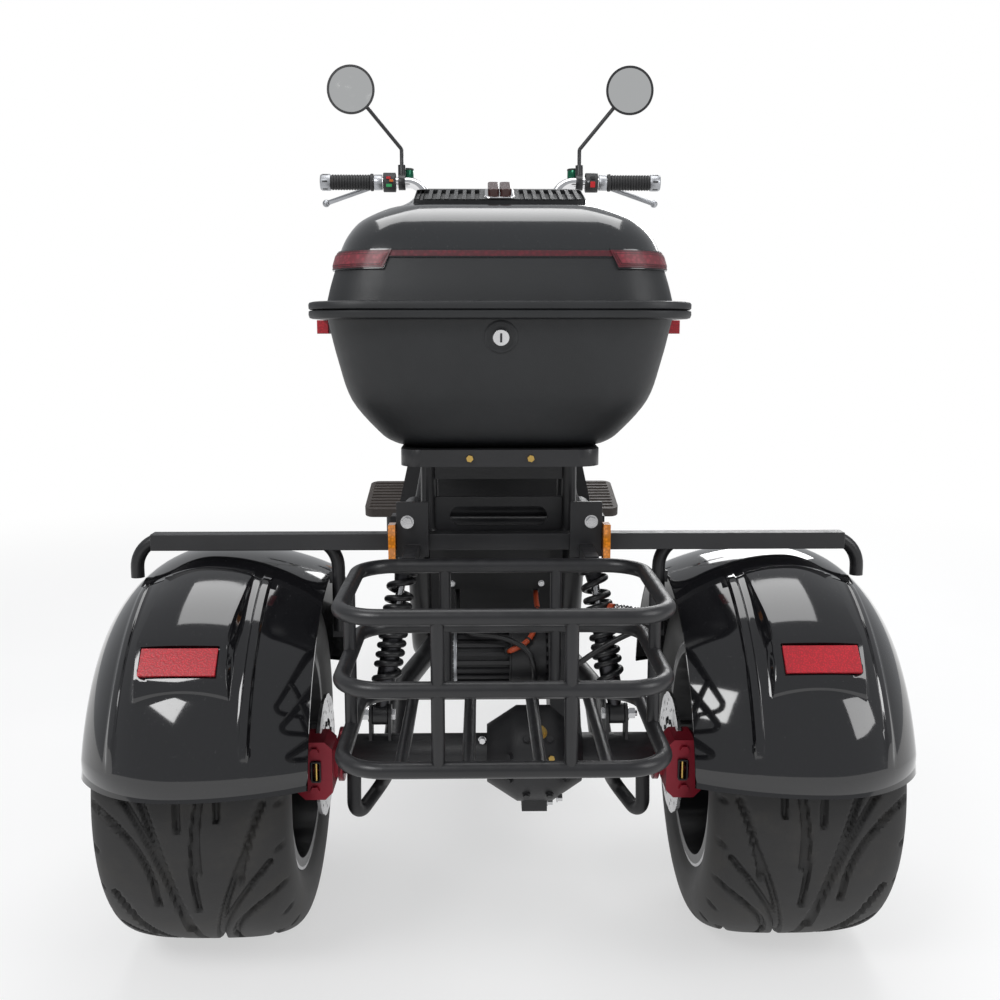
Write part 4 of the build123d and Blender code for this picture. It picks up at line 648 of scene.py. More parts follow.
def seat_on(nodes, start, toward):
    """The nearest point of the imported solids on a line, and their surface's direction there."""
    found = None
    for node in nodes:
        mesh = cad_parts[node].data
        place, normal, _, distance = ray_tree(mesh).ray_cast(Vector(start), Vector(toward).normalized())
        if place and (found is None or distance < found[2]):
            found = (place, normal, distance)
    if found is None:
        raise RuntimeError(f"nothing of {nodes} lies on the line from {start}")
    place, normal, distance = found
    return place, normal if normal.dot(Vector(toward)) < 0 else -normal


def side_box(node, side):
    """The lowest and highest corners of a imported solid's half on one side."""
    points = [v.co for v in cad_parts[node].data.vertices if v.co.x * side > 0]
    return [Vector([pick(p[axis] for p in points) for axis in range(3)]) for pick in (min, max)]


# Wheels

# columns: packed name, body, wheel centre x, wheel centre y, side to which the tread's pattern is laid
WHEELS = (
    ("rear_tyre_left", "rear_wheel_left", -REAR_X, REAR_Y, -1),
    ("rear_tyre_right", "rear_wheel_right", REAR_X, REAR_Y, 1),
    ("front_tyre", "front_wheel", 0.0, FRONT_Y, 1),
)
TYRE_RADIUS = 0.218
TYRE_HALF = 0.110
BEAD_RADIUS = 0.132
TREAD_FOOT = 0.192
BEAD_HALF = 0.0968
# columns: share of the half width, radius in metres, from bead to bead over the crown
TYRE_LINE = (
    (0.88, 0.1325),
    (0.905, 0.140),
    (0.955, 0.150),
    (0.992, 0.164),
    (1.0, 0.174),
    (0.985, 0.187),
    (0.94, 0.198),
    (0.86, 0.2065),
    (0.72, 0.2125),
    (0.5, 0.2163),
    (0.25, 0.2176),
    (0.0, 0.218),
)


class TRIKE_OT_tyres(bpy.types.Operator):
    """Three fat road tyres with long curved grooves that sweep from the crown to the shoulders"""

    bl_idname = "trike.tyres"
    bl_label = "Tyres"

    # columns: start along the pitch, start across, end along the pitch, end across, power of the sweep
    grooves = (
        (0.00, 0.006, 1.42, 0.070, 2.3),
        (0.26, 0.013, 1.30, 0.090, 2.6),
        (0.55, 0.036, 1.12, 0.101, 2.9),
        (0.20, 0.058, 0.62, 0.084, 1.4),
        (0.86, 0.099, 0.88, 0.1065, 1.0),
        (0.36, 0.099, 0.38, 0.1065, 1.0),
        (0.61, 0.100, 0.62, 0.1065, 1.0),
        (0.11, 0.100, 0.12, 0.1065, 1.0),
    )

    def groove_points(self, mirror, shift):
        """Points of each groove, as (share along the pitch, place across)."""
        lines = []
        for start, x0, end, x1, power in self.grooves:
            line = []
            for t in (k / 18 for k in range(19)):
                line.append((start + (end - start) * t + shift, mirror * (x0 + (x1 - x0) * t**power)))
            lines.append(line)
        return lines

    def section(self):
        """Points (across, radius) of the tyre's outside from bead to bead, closer on the tread."""
        line = smooth_line([(share * TYRE_HALF, radius, 0) for share, radius in TYRE_LINE], 12)
        half = [(line[0].x, line[0].y)]
        for point in line:
            step = 0.0021 if point.y > TREAD_FOOT else 0.004
            if hypot(point.x - half[-1][0], point.y - half[-1][1]) >= step or point is line[-1]:
                half.append((point.x, point.y))
        return half + [(-x, r) for x, r in reversed(half[:-1])]

    def groove_depths(self, section, steps):
        """Depth of the grooves over one pitch, a row for each step round the tyre."""
        size = sizes()
        pitch_length = tau * TYRE_RADIUS / size.tread_pitches
        reach = size.groove_width * 0.8
        depths = [[0.0] * len(section) for i in range(steps)]
        for groove in self.groove_points(1, 0.0) + self.groove_points(-1, 0.5):
            for (a0, x0), (a1, x1) in zip(groove, groove[1:]):
                low = int((min(a0, a1) * pitch_length - reach) / pitch_length * steps) - 1
                high = int((max(a0, a1) * pitch_length + reach) / pitch_length * steps) + 1
                du, dx = (a1 - a0) * pitch_length, x1 - x0
                for i in range(low, high + 1):
                    u0 = a0 * pitch_length - i * pitch_length / steps
                    row = depths[i % steps]
                    for k, (x, r) in enumerate(section):
                        if r < TREAD_FOOT or not min(x0, x1) - reach < x < max(x0, x1) + reach:
                            continue
                        t = max(0.0, min(1.0, -(u0 * du + (x0 - x) * dx) / (du * du + dx * dx)))
                        gap = hypot(u0 + du * t, x0 + dx * t - x)
                        row[k] = max(row[k], 1 - ramp(gap, reach * 0.45, reach))
        for row in depths:
            for k, (x, r) in enumerate(section):
                row[k] *= size.groove_depth * ramp(r, TREAD_FOOT, 0.204)
        return depths

    def execute(self, context):
        steps = 96
        around = steps * sizes().tread_pitches
        section = self.section()
        depths = self.groove_depths(section, steps)
        for node, body, wheel_x, wheel_y, side in WHEELS:
            build = Build("tyre_rubber")
            rows = []
            for i in range(around):
                angle = tau * i / around
                line = []
                for (x, r), depth in zip(section, depths[i % steps]):
                    # two fine rings are pressed into the sidewall
                    ring = 0.0006 if 0.150 < r < 0.154 or 0.176 < r < 0.178 else 0.0
                    line.append((side * x, r - depth - ring))
                line += [(-side * BEAD_HALF * 0.9, BEAD_RADIUS), (side * BEAD_HALF * 0.9, BEAD_RADIUS)]
                rows.append([(wheel_x + x, wheel_y - r * cos(angle), AXLE_Z + r * sin(angle)) for x, r in line])
            build.grid(rows, close_rows=True, close_columns=True)
            made = build.done(node + "_tread", body, 50.0)
            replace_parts(made, node)
        return {"FINISHED"}


class TRIKE_OT_wheels(bpy.types.Operator):
    """Cast wheels, their valves, drilled discs and shafts"""

    bl_idname = "trike.wheels"
    bl_label = "Wheels and discs"

    def execute(self, context):
        for suffix, name in (("_left", "rear"), ("_right", "rear"), ("", "front")):
            dress(f"{name}_rim{suffix}", f"{name}_wheel_black", bevel=0.0008)
        # columns: packed disc, body, place across, wheel centre y
        for node, body, x, y in (
            ("rear_disc_left", "rear_wheel_left", -0.221, REAR_Y),
            ("rear_disc_right", "rear_wheel_right", 0.221, REAR_Y),
            ("front_disc", "front_wheel", -0.098, FRONT_Y),
        ):
            build = Build("disc_steel", "dark_steel")
            holes = []
            for i in range(36):
                angle = tau * i / 36
                radius = (0.0545, 0.0605, 0.0665)[i % 3]
                holes.append(circle(0.0021, 12, radius * cos(angle), radius * sin(angle)))
            for i in range(6):
                middle = tau * i / 6
                slot_line = []
                for radius, sweep in ((0.0355, 0.36), (0.0445, 0.30)):
                    arc = [middle - sweep + 2 * sweep * k / 6 for k in range(7)]
                    if radius > 0.04:
                        arc.reverse()
                    slot_line += [(radius * cos(a), radius * sin(a)) for a in arc]
                holes.append(slot_line)
            edge = []
            for i in range(144):
                radius = 0.076 - 0.0016 * (0.5 + 0.5 * cos(12 * tau * i / 144)) ** 4
                edge.append((radius * cos(tau * i / 144), radius * sin(tau * i / 144)))
            build.plate((x - 0.002, y, AXLE_Z), (0, 1, 0), (1, 0, 0), edge, [circle(0.0275, 32), *holes], 0.004)
            for i in range(6):
                angle = tau * (i + 0.5) / 6
                place = (x, y + 0.0395 * cos(angle), AXLE_Z + 0.0395 * sin(angle))
                for face in (-1, 1):
                    build.lathe(place, (face, 0, 0), [(0.0015, 0.0035), (0.0035, 0.0032), (0.0035, 0)], 10, 1)
            made = build.done(node + "_drilled", body, 30.0, 0.0003)
            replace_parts(made, node)
        for suffix in ("_left", "_right"):
            dress(f"rear_shaft{suffix}", "bright_steel", bevel=0.0006)
        dress("front_axle", "bright_steel", bevel=0.0006)
        return {"FINISHED"}


# Fenders

FENDER_R = 0.270
REFLECTOR_ANGLE = 42.0
SEAT_R = 0.2732
# columns: line down the fender, as (height above the reflector, reach outward) pairs in millimetres,
# ridge, raised field, hood and reflector's pocket, each 0 or 1, strips to the next line
FENDER_LINES = (
    (((0, -138),), 0, 0, 0, 0, 9),
    (((0, -80),), 0, 0, 0, 0, 3),
    (((0, -77.6),), 1, 1, 0, 0, 3),
    (((0, -70.6),), 1, 1, 0, 0, 3),
    (((0, -68.2),), 0, 1, 0, 0, 3),
    (((-40, -57.5), (-25, -57), (13, -60), (60, -60), (107, -59), (140, -59)), 0, 1, 0, 0, 5),
    (((-40, -55.5), (-25, -53.5), (13, -46), (60, -51), (107, -57), (140, -57)), 0, 1, 1, 0, 3),
    (((0, -42.6),), 0, 1, 1, 0, 1),
    (((0, -41.8),), 0, 1, 1, 1, 22),
    (((0, 41.8),), 0, 1, 1, 1, 1),
    (((0, 42.6),), 0, 1, 1, 0, 3),
    (((-40, 44), (25, 48), (78, 41), (140, 33)), 0, 1, 1, 0, 4),
    (((-40, 47.5), (25, 51.5), (78, 43.5), (140, 34.5)), 0, 1, 0, 0, 4),
    (((0, 62.6),), 0, 1, 0, 0, 3),
    (((0, 65),), 1, 1, 0, 0, 3),
    (((0, 71.6),), 1, 1, 0, 0, 3),
    (((0, 74),), 0, 0, 0, 0, 11),
    (((0, 114),), 0, 0, 0, 0, 0),
)
# columns: angle above straight behind, rise of the line at its middle, hood, pocket, strips to the next line
FENDER_ROWS = (
    (17.4, 0.0, 0, 0, 11),
    (32.9, 1.8, 0, 0, 3),
    (33.8, 1.8, 1, 0, 6),
    (38.2, 0.0, 1, 0, 1),
    (38.4, 0.0, 1, 1, 8),
    (45.6, 0.0, 1, 1, 1),
    (45.8, 0.0, 1, 0, 2),
    (47.2, 0.0, 1, 0, 22),
    (70.4, 2.6, 1, 0, 3),
    (71.1, 2.6, 0, 0, 7),
    (90.0, 0.0, 0, 0, 28),
    (164.0, 0.0, 0, 0, 0),
)
# columns: height above the reflector, radius of the hood at its middle, share of the fender's own curve
HOOD = (
    (-42, 0.2722, 0.75),
    (-20, 0.2765, 0.50),
    (17, 0.2795, 0.42),
    (24, 0.2800, 0.42),
    (70, 0.2775, 0.62),
    (110, 0.2748, 0.88),
    (150, 0.2730, 1.00),
)
# columns: place across and radius, from the shoulder down the skirt
FENDER_SKIRT = ((0.4615, 0.198), (0.4636, 0.190), (0.4655, 0.181), (0.467, 0.172))


def fender_reach(x):
    """The fender's radius at a place across, over the crown, from inner rim to skirt."""
    inner_round = (0.138**2 + 0.030**2) / 0.060
    if x < REAR_X:
        return FENDER_R - inner_round + sqrt(inner_round**2 - (REAR_X - x) ** 2)
    outer_round = (0.114**2 + 0.065**2) / 0.130
    return FENDER_R - outer_round + sqrt(max(0.0, outer_round**2 - (x - REAR_X) ** 2))


def read_off(value, pairs):
    """The second number of the pairs at a value of the first, in straight lines between them."""
    if value <= pairs[0][0]:
        return pairs[0][1]
    for (a, first), (b, second) in zip(pairs, pairs[1:]):
        if value <= b:
            return first + (second - first) * (value - a) / (b - a)
    return pairs[-1][1]


class TRIKE_OT_fenders(bpy.types.Operator):
    """Glossy rear fenders: a hood over the reflector, a raised field between two ridges, a band below"""

    bl_idname = "trike.fenders"
    bl_label = "Rear fenders"

    def spread(self, table):
        """Every strip's edge of a table: both neighbouring rows and the share between them."""
        lines = []
        for low, high in zip(table, table[1:]):
            lines += [(low, high, k / low[-1]) for k in range(low[-1])]
        return lines + [(table[-1], table[-1], 0.0)]

    def point(self, column, row):
        """Place across, radius and angle of one crossing of a column and a row."""
        (left, right, share), (low, high, part) = column, row
        soft, lift = ramp(share, 0, 1), ramp(part, 0, 1)
        middle = left[0][0][1] + (right[0][0][1] - left[0][0][1]) * share
        bow = 1 - min(1.0, abs(middle + 8) / 56) ** 2
        angle = (low[0] + low[1] * bow) * (1 - part) + (high[0] + high[1] * bow) * part
        height = FENDER_R * 1000 * sin(radians(min(132.0, angle) - REFLECTOR_ANGLE))
        reach = read_off(height, left[0]) * (1 - share) + read_off(height, right[0]) * share
        x = REAR_X + reach * MM
        ridge, field, hood, pocket = (left[k] * (1 - soft) + right[k] * soft for k in (1, 2, 3, 4))
        hood_row, pocket_row = (low[k] * (1 - lift) + high[k] * lift for k in (2, 3))
        plain = fender_reach(x)
        above = 1 - ramp(angle, 70.4 + 2.6 * bow, 71.1 + 2.6 * bow)
        radius = plain + 0.0020 * field * ramp(angle, 17.4, 24) * above
        radius += 0.0026 * ridge * ramp(angle, 17.4, 25) * (1 - ramp(angle, 66, 77))
        top = read_off(height, [(h, r) for h, r, curve in HOOD])
        curve = read_off(height, [(h, c) for h, r, c in HOOD])
        hooded = max(radius, top - (FENDER_R - plain) * curve)
        radius += (hooded - radius) * hood * hood_row
        seat = SEAT_R / cos(radians(angle - REFLECTOR_ANGLE)) if pocket * pocket_row else 0.0
        radius += (seat - radius) * pocket * pocket_row
        return x, radius, angle

    def closed_end(self, loop, end):
        """The loop's points drawn in to the middle of the wall."""
        base = fender_reach(abs(loop[0][0])) if end == 0 else FENDER_SKIRT[-1][1]
        reach = base - 0.0023
        drawn = []
        for x, y, z in loop:
            ahead, rise = y - REAR_Y, z - AXLE_Z
            if rise < 0.0515:
                drawn.append((x, REAR_Y + sqrt(reach**2 - rise**2) * (1 if ahead > 0 else -1), z))
            else:
                scale = reach / hypot(ahead, rise)
                drawn.append((x, REAR_Y + ahead * scale, AXLE_Z + rise * scale))
        return drawn

    def execute(self, context):
        cut, crease = 0.268 - AXLE_Z, 0.289 - AXLE_Z
        columns, rows = self.spread(FENDER_LINES), self.spread(FENDER_ROWS)
        for side, suffix in ((-1, "left"), (1, "right")):
            build = Build("fender_gloss")
            loops = []
            for column in columns + [None] * len(FENDER_SKIRT):
                skirt = len(loops) - len(columns)
                outer = []
                for row in rows:
                    x, radius, angle = self.point(column or columns[-1], row)
                    if skirt >= 0:
                        x, radius = FENDER_SKIRT[skirt]
                    base = FENDER_SKIRT[skirt][1] if skirt >= 0 else fender_reach(x)
                    # near the shoulder and skirt the rows crowd, so that none passes below the crease
                    first = degrees(asin(crease / base)) + 0.8
                    spare = (90 - max(first, 17.4)) / (90 - 17.4)
                    angle = 90 - (90 - angle) * spare if angle < 90 else 90 + (angle - 90) * spare
                    outer.append((x, radius - 0.0004, angle))
                x, base, angle = outer[0]
                flat = sqrt(base**2 - crease**2)
                ahead = sqrt(outer[-1][1] ** 2 - crease**2)
                line = [(x, -flat + 0.0006, cut), (x, -flat, cut + 0.0008), (x, -flat, crease)]
                line += [(x, -r * cos(radians(a)), r * sin(radians(a))) for x, r, a in outer]
                line += [(x, ahead, crease), (x, ahead, cut + 0.0008), (x, ahead - 0.0006, cut)]
                under = (FENDER_SKIRT[skirt][1] if skirt >= 0 else fender_reach(x)) - 0.0042
                low = degrees(asin(cut / under))
                for k in range(33):
                    angle = radians(180 - low - (180 - 2 * low) * k / 32)
                    line.append((x - (0.003 if skirt >= 0 else 0.0), -under * cos(angle), under * sin(angle)))
                loops.append([(side * x, REAR_Y + y, AXLE_Z + z) for x, y, z in line])
            for end in (0, -1):
                loops.insert(end if end == 0 else len(loops), self.closed_end(loops[end], end))
            build.grid(loops, close_columns=True)
            made = build.done(f"fender_{suffix}_shell", "chassis", 44.0)
            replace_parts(made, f"fender_{suffix}")
        dress("fender_reflectors", "reflector_red", bevel=0.0008)
        return {"FINISHED"}


# Chassis


class TRIKE_OT_chassis(bpy.types.Operator):
    """Finishes of the frame, the drive and what they carry"""

    bl_idname = "trike.chassis"
    bl_label = "Frame and drive"

    def execute(self, context):
        for node, finish_name, bevel in (
            ("main_frame", "powder_coat", 0.0),
            ("axle_housing", "cast_black", 0.001),
            ("swing_arm", "powder_coat", 0.0),
            ("drive_motor", "cast_black", 0.0004),
            ("battery_case", "case_matt", 0.002),
            ("controller_box", "case_matt", 0.001),
            ("seat_pan", "case_matt", 0.002),
            ("footboards", "foot_rubber", 0.002),
            ("guard_rail", "powder_coat", 0.0012),
            ("guard_hoops", "powder_coat", 0.0),
            ("mount_brackets", "powder_coat", 0.0008),
            ("rear_lamps", "amber", 0.001),
            ("basket", "powder_coat", 0.0),
            ("box_rack", "powder_coat", 0.0008),
            ("rear_calipers", "brake_red", 0.0012),
        ):
            dress(node, finish_name, bevel=bevel)
        return {"FINISHED"}


# lower and upper pin of each shock absorber
SHOCK_PINS = ((0.150, REAR_Y, 0.270), (0.117, -0.560, 0.478))
# points to a turn of its spring
COIL_STEPS = 26


def helix(foot, axis, heights, reach, steps):
    """Points of a spring about an axis, one for each height, with so many steps to a turn."""
    side_way = axis.orthogonal().normalized()
    other = axis.cross(side_way)
    points = []
    for i, along in enumerate(heights):
        angle = tau * i / steps
        points.append(foot + axis * along + (side_way * cos(angle) + other * sin(angle)) * reach)
    return points


class TRIKE_OT_shocks(bpy.types.Operator):
    """Shock absorbers with open coil springs"""

    bl_idname = "trike.shocks"
    bl_label = "Shock absorbers"

    def heights(self, low, high):
        """Heights of a spring's points on its axis, closer together at its ends."""
        count = 10 * COIL_STEPS
        points = []
        for share in (i / count for i in range(count + 1)):
            spread = ramp(share, 0.0, 0.12) * 0.5 + ramp(share, 0.88, 1.0) * 0.5
            points.append(low + (high - low) * (share * 0.86 + 0.14 * spread))
        return points

    def execute(self, context):
        wire = sizes().spring_wire
        for side, suffix in ((-1, "left"), (1, "right")):
            foot, top = (Vector((side * x, y, z)) for x, y, z in SHOCK_PINS)
            axis = (top - foot).normalized()
            length = (top - foot).length
            build = Build("powder_coat", "bright_steel", "dark_steel")
            for place in (foot, top):
                for slot, reach, low, high in ((0, 0.0098, 0.0075, 0.013), (1, 0.0100, 0.0, 0.007)):
                    profile = [(-reach, low), (-reach, high - 0.001), (0.001 - reach, high)]
                    profile += [(reach - 0.001, high), (reach, high - 0.001), (reach, low)]
                    build.lathe(place, (1, 0, 0), profile, 28, slot)
            tube = [(0.010, 0.008), (0.024, 0.010), (0.027, 0.0125), (0.115, 0.0125), (0.117, 0.0095), (0.117, 0)]
            build.lathe(foot, axis, tube, 28, 2)
            build.lathe(foot, axis, [(0.1, 0.0055), (length - 0.03, 0.0055)], 20, 1)
            head = [(0.05, 0.0), (0.05, 0.009), (0.036, 0.011), (0.010, 0.008)]
            build.lathe(foot, axis, [(length - below, radius) for below, radius in head], 24, 2)
            for along in (0.030, length - 0.036):
                seat = [(-0.002, 0.0), (-0.002, 0.0185), (0.002, 0.0190), (0.002, 0.0)]
                build.lathe(foot, axis, [(along + offset, radius) for offset, radius in seat], 32, 0)
            heights = self.heights(0.032 + wire, length - 0.038 - wire)
            build.bar(helix(foot, axis, heights, 0.0188 - wire, COIL_STEPS), wire, 10, 0)
            made = build.done(f"shock_{suffix}_spring", "chassis", 40.0)
            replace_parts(made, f"shock_{suffix}")
        return {"FINISHED"}


# Cables of the drive

CABLE_RADIUS = 0.0036
# columns: finish, points as (across, ahead of the axle, above it) in millimetres
CABLES = (
    (
        "cable_orange",
        (12.0, 50.5, 119.4),
        (15.0, 38.0, 122.0),
        (44.0, 50.0, 134.0),
        (55.0, 92.0, 160.0),
        (56.0, 198.0, 154.0),
        (56.0, 198.0, 172.4),
    ),
    (
        "cable_black",
        (-56.0, 198.0, 172.4),
        (-56.0, 198.0, 157.0),
        (-53.0, 75.0, 155.0),
        (-46.0, 50.0, 143.0),
        (6.0, 44.0, 141.0),
        (38.0, 34.0, 128.0),
        (47.0, 30.0, 104.0),
        (48.0, 45.5, 79.0),
        (48.0, 30.2, 52.3),
    ),
    (
        "cable_black",
        (187.6, -25.0, 170.0),
        (168.0, -25.0, 170.0),
        (92.0, -20.0, 121.0),
        (88.0, -4.5, 96.5),
        (88.0, 15.0, 78.1),
    ),
)


def spline_line(route):
    """Points read from the NURBS spline that has the route's points as its control points."""
    curve = bpy.data.curves.new("route", "CURVE")
    curve.dimensions = "3D"
    curve.resolution_u = 12
    spline = curve.splines.new("NURBS")
    spline.points.add(len(route) - 1)
    for point, place in zip(spline.points, route):
        point.co = (*place, 1.0)
    spline.order_u = 3
    spline.use_endpoint_u = True
    holder = bpy.data.objects.new("route", curve)
    mesh = bpy.data.meshes.new_from_object(holder)
    line = [vertex.co.copy() for vertex in mesh.vertices]
    bpy.data.meshes.remove(mesh)
    bpy.data.objects.remove(holder)
    bpy.data.curves.remove(curve)
    return line


class TRIKE_OT_cables(bpy.types.Operator):
    """Phase cable, signal cable and hose of the drive, with their sleeves and ties"""

    bl_idname = "trike.cables"
    bl_label = "Drive cables"

    def execute(self, context):
        build = Build("cable_orange", "cable_black", "soft_rubber")
        for name, *route in CABLES:
            line = spline_line([(x * MM, REAR_Y + y * MM, AXLE_Z + z * MM) for x, y, z in route])
            slot = 0 if name == "cable_orange" else 1
            build.bar(line, CABLE_RADIUS, 14, slot)
            sleeve = [(0.0, 0.0), (0.0, 0.0055), (0.008, 0.0052), (0.0095, CABLE_RADIUS)]
            for end, after in ((line[0], line[1]), (line[-1], line[-2])):
                build.lathe(end, after - end, sleeve, 18, 2)
            tie = [(0.0, CABLE_RADIUS), (0.0, 0.0044), (0.003, 0.0044), (0.003, CABLE_RADIUS)]
            for share in (0.35, 0.7):
                k = int(share * (len(line) - 2))
                build.lathe(line[k], line[k + 1] - line[k], tie, 16, 2)
        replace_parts(build.done("dressed_cables", "chassis", 40.0), "drive_cables")
        return {"FINISHED"}


# Fittings of the chassis


class TRIKE_OT_fittings(bpy.types.Operator):
    """Bolts, nuts, screws, motor rings and the small spring beside the shock absorber"""

    bl_idname = "trike.fittings"
    bl_label = "Fittings"

    # columns: what carries it, place across, height, across flats, head height, finish slot, washer
    from_behind = (
        ("mount_brackets", -0.109, 0.5285, 0.011, 0.005, 1, True),
        ("mount_brackets", 0.109, 0.5285, 0.011, 0.005, 1, True),
        ("controller_box", -0.063, 0.3990, 0.006, 0.003, 1, True),
        ("controller_box", 0.063, 0.3990, 0.006, 0.003, 1, True),
        ("box_rack", -0.034, 0.6115, 0.007, 0.004, 2, False),
        ("box_rack", 0.034, 0.6115, 0.007, 0.004, 2, False),
        ("axle_housing", 0.0500, 0.2600, 0.013, 0.006, 2, True),
        ("axle_housing", 0.0640, 0.2330, 0.007, 0.004, 2, False),
        ("axle_housing", -0.021, 0.2400, 0.007, 0.005, 1, True),
    )

    def on_back(self, build, node, x, z, across, height, slot, washer=True):
        """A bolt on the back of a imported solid, square to its surface where that faces back."""
        place, normal = seat_on([node], (x, -1.2, z), (0, 1, 0))
        build.bolt(place, normal if abs(normal.y) > 0.5 else (0, -1, 0), across, height, slot, washer)

    def shock_nuts(self, build):
        """A nut on each side of each pin of the shock absorbers."""
        shocks = ["shock_left", "shock_right"]
        carriers = ["axle_housing", "main_frame", *shocks]
        for side in (-1, 1):
            for y, z in (pin[1:] for pin in SHOCK_PINS):
                place = seat_on(carriers, (side * 0.205, y, z), (-side, 0, 0))[0]
                build.bolt(place, (side, 0, 0), 0.013, 0.008, 1)
                build.lathe(place, (side, 0, 0), [(0.009, 0.004), (0.0125, 0.0038), (0.0130, 0.0)], 16, 1)
                place = seat_on(shocks, (side * 0.075, y, z), (side, 0, 0))[0]
                build.bolt(place, (-side, 0, 0), 0.013, 0.007, 1)

    def gear_case(self, build):
        """Bolts round the gear case's cover and nuts on the side of the block under it."""
        for k in range(8):
            angle = tau * (k + 0.5) / 8
            x, z = 0.048 + 0.038 * cos(angle), AXLE_Z + 0.038 * sin(angle)
            self.on_back(build, "axle_housing", x, z, 0.007, 0.003, 0)
        for z in (0.1665, 0.1585):
            back = seat_on(["axle_housing"], (0.0475, -1.2, z), (0, 1, 0))[0]
            place = seat_on(["axle_housing"], (0.2, back.y + 0.008, z), (-1, 0, 0))[0]
            build.bolt(place, (1, 0, 0), 0.008, 0.006, 1)

    def motor_rings(self, build):
        """Rings round the motor, and its end cap with four screws."""
        centre = Vector((0, -0.521, 0.322))
        for x, width, slot in ((-0.0830, 0.006, 4), (-0.0600, 0.006, 4), (0.0150, 0.003, 0)):
            ring = [(x, 0.030), (x, 0.0446), (x + 0.0006, 0.0450), (x + width - 0.0006, 0.0450)]
            ring += [(x + width, 0.0446), (x + width, 0.030)]
            build.lathe(centre, (1, 0, 0), ring, 48, slot)
        cap = [(0.018, 0.030), (0.018, 0.0440), (0.0200, 0.0446), (0.0630, 0.0446), (0.0660, 0.0420)]
        cap += [(0.0670, 0.0380), (0.0670, 0.0)]
        build.lathe(centre, (1, 0, 0), cap, 48, 0)
        for k in range(4):
            angle = tau * (k + 0.5) / 4
            place = centre + Vector((0.0670, 0.030 * cos(angle), 0.030 * sin(angle)))
            build.bolt(place, (1, 0, 0), 0.006, 0.003, 1)

    def small_spring(self, build):
        """Spring with orange ends from the right hoop's leg to the shock absorber."""
        start, end = Vector((0.186, -0.6330, 0.405)), Vector((0.1400, -0.5950, 0.404))
        along = (end - start).normalized()
        cap, turns, steps = 0.009, 8, 16
        span = (end - start).length - 2 * cap
        heights = [cap + span * k / (turns * steps) for k in range(turns * steps + 1)]
        build.bar(helix(start, along, heights, 0.0052, steps), 0.0011, 6, 1)
        cup = [(0.0, 0.0), (0.0, 0.0035), (0.002, 0.0058), (0.009, 0.0058), (0.0095, 0.0)]
        for foot, way in ((start, along), (end, -along)):
            build.lathe(foot, way, cup, 16, 3)
        build.bar([start, end], 0.0016, 8, 1)

    def caliper_windows(self):
        """Window of each rear caliper: a dark insert and its brass pin."""
        build = Build("cast_black", "brass")
        for side in (-1, 1):
            low, high = side_box("rear_calipers", side)
            x, z = (low.x + high.x) / 2, 0.232
            outline, hole = rounded(0.0058, 0.0128, 0.002, 3), rounded(0.0044, 0.0112, 0.0015, 3)
            build.plate((x, low.y - 0.0002, z), (1, 0, 0), (0, 1, 0), outline, [hole], 0.010, 0)
            pin_y = low.y + 0.0035
            build.bar([(x, pin_y, z - 0.0120), (x, pin_y, z + 0.0120)], 0.0022, 14, 1)
        build.done("caliper_trim", "chassis", 35.0)

    def foot_ribs(self):
        """Ribs across the footboards."""
        build = Build("foot_rubber")
        for side in (-1, 1):
            low, high = side_box("footboards", side)
            x, width = (low.x + high.x) / 2, (high.x - low.x) * 0.8
            for k in range(9):
                y = low.y + (high.y - low.y) * (0.1 + 0.8 * k / 8)
                place, normal = seat_on(["footboards"], (x, y, 0.6), (0, 0, -1))
                build.block(place + normal * 0.0006, (width, 0.0055, 0.0026), 0, (1, 0, 0), normal)
        build.done("foot_ribs", "chassis", 35.0, 0.0006)

    def execute(self, context):
        build = Build("cast_black", "bright_steel", "brass", "cable_orange", "silver_cast")
        for row in self.from_behind:
            self.on_back(build, *row)
        self.shock_nuts(build)
        self.gear_case(build)
        self.motor_rings(build)
        self.small_spring(build)
        build.done("chassis_fittings", "chassis", 35.0)
        self.caliper_windows()
        self.foot_ribs()
        return {"FINISHED"}


# Top box


BOX_Y = -0.608
SEAM_Z = 0.774
HINGE_X, HINGE_Y = 0.110, -0.405
BOX_WALL = 0.0035
# middle of the lid's ribs, the way they stand and how high
RIB_MIDDLE = Vector((0, -0.6690, 0.9005))
RIB_UPRIGHT = Vector((1, 0, 0)).cross(Vector((0, 0.0745, 0.0205)).normalized())
RIB_HEIGHT = 0.0046
# columns: height, half width, half length, corner, shift forward
TUB_LINE = (
    (0.6210, 0.108, 0.100, 0.040, 0.0),
    (0.6250, 0.122, 0.114, 0.046, 0.0),
    (0.6370, 0.138, 0.130, 0.053, 0.0),
    (0.6750, 0.167, 0.157, 0.061, 0.0),
    (0.7200, 0.1805, 0.1705, 0.064, 0.0),
    (0.7640, 0.190, 0.180, 0.066, 0.0),
)
TUB_BAND = (
    (0.7646, 0.2050, 0.1910, 0.069, 0.0),
    (0.7656, 0.2080, 0.1940, 0.070, 0.0),
    (0.7690, 0.2090, 0.1950, 0.070, 0.0),
    (0.7726, 0.2088, 0.1948, 0.070, 0.0),
    (0.7736, 0.2076, 0.1936, 0.070, 0.0),
    (0.7736, 0.1865, 0.1765, 0.0625, 0.0),
)
LID_BAND = (
    (0.7744, 0.1845, 0.1745, 0.0615, 0.0),
    (0.7744, 0.2076, 0.1936, 0.070, 0.0),
    (0.7754, 0.2088, 0.1948, 0.070, 0.0),
    (0.7800, 0.2090, 0.1950, 0.070, 0.0),
    (0.7822, 0.2080, 0.1940, 0.070, 0.0),
    (0.7832, 0.2040, 0.1905, 0.069, 0.0),
)
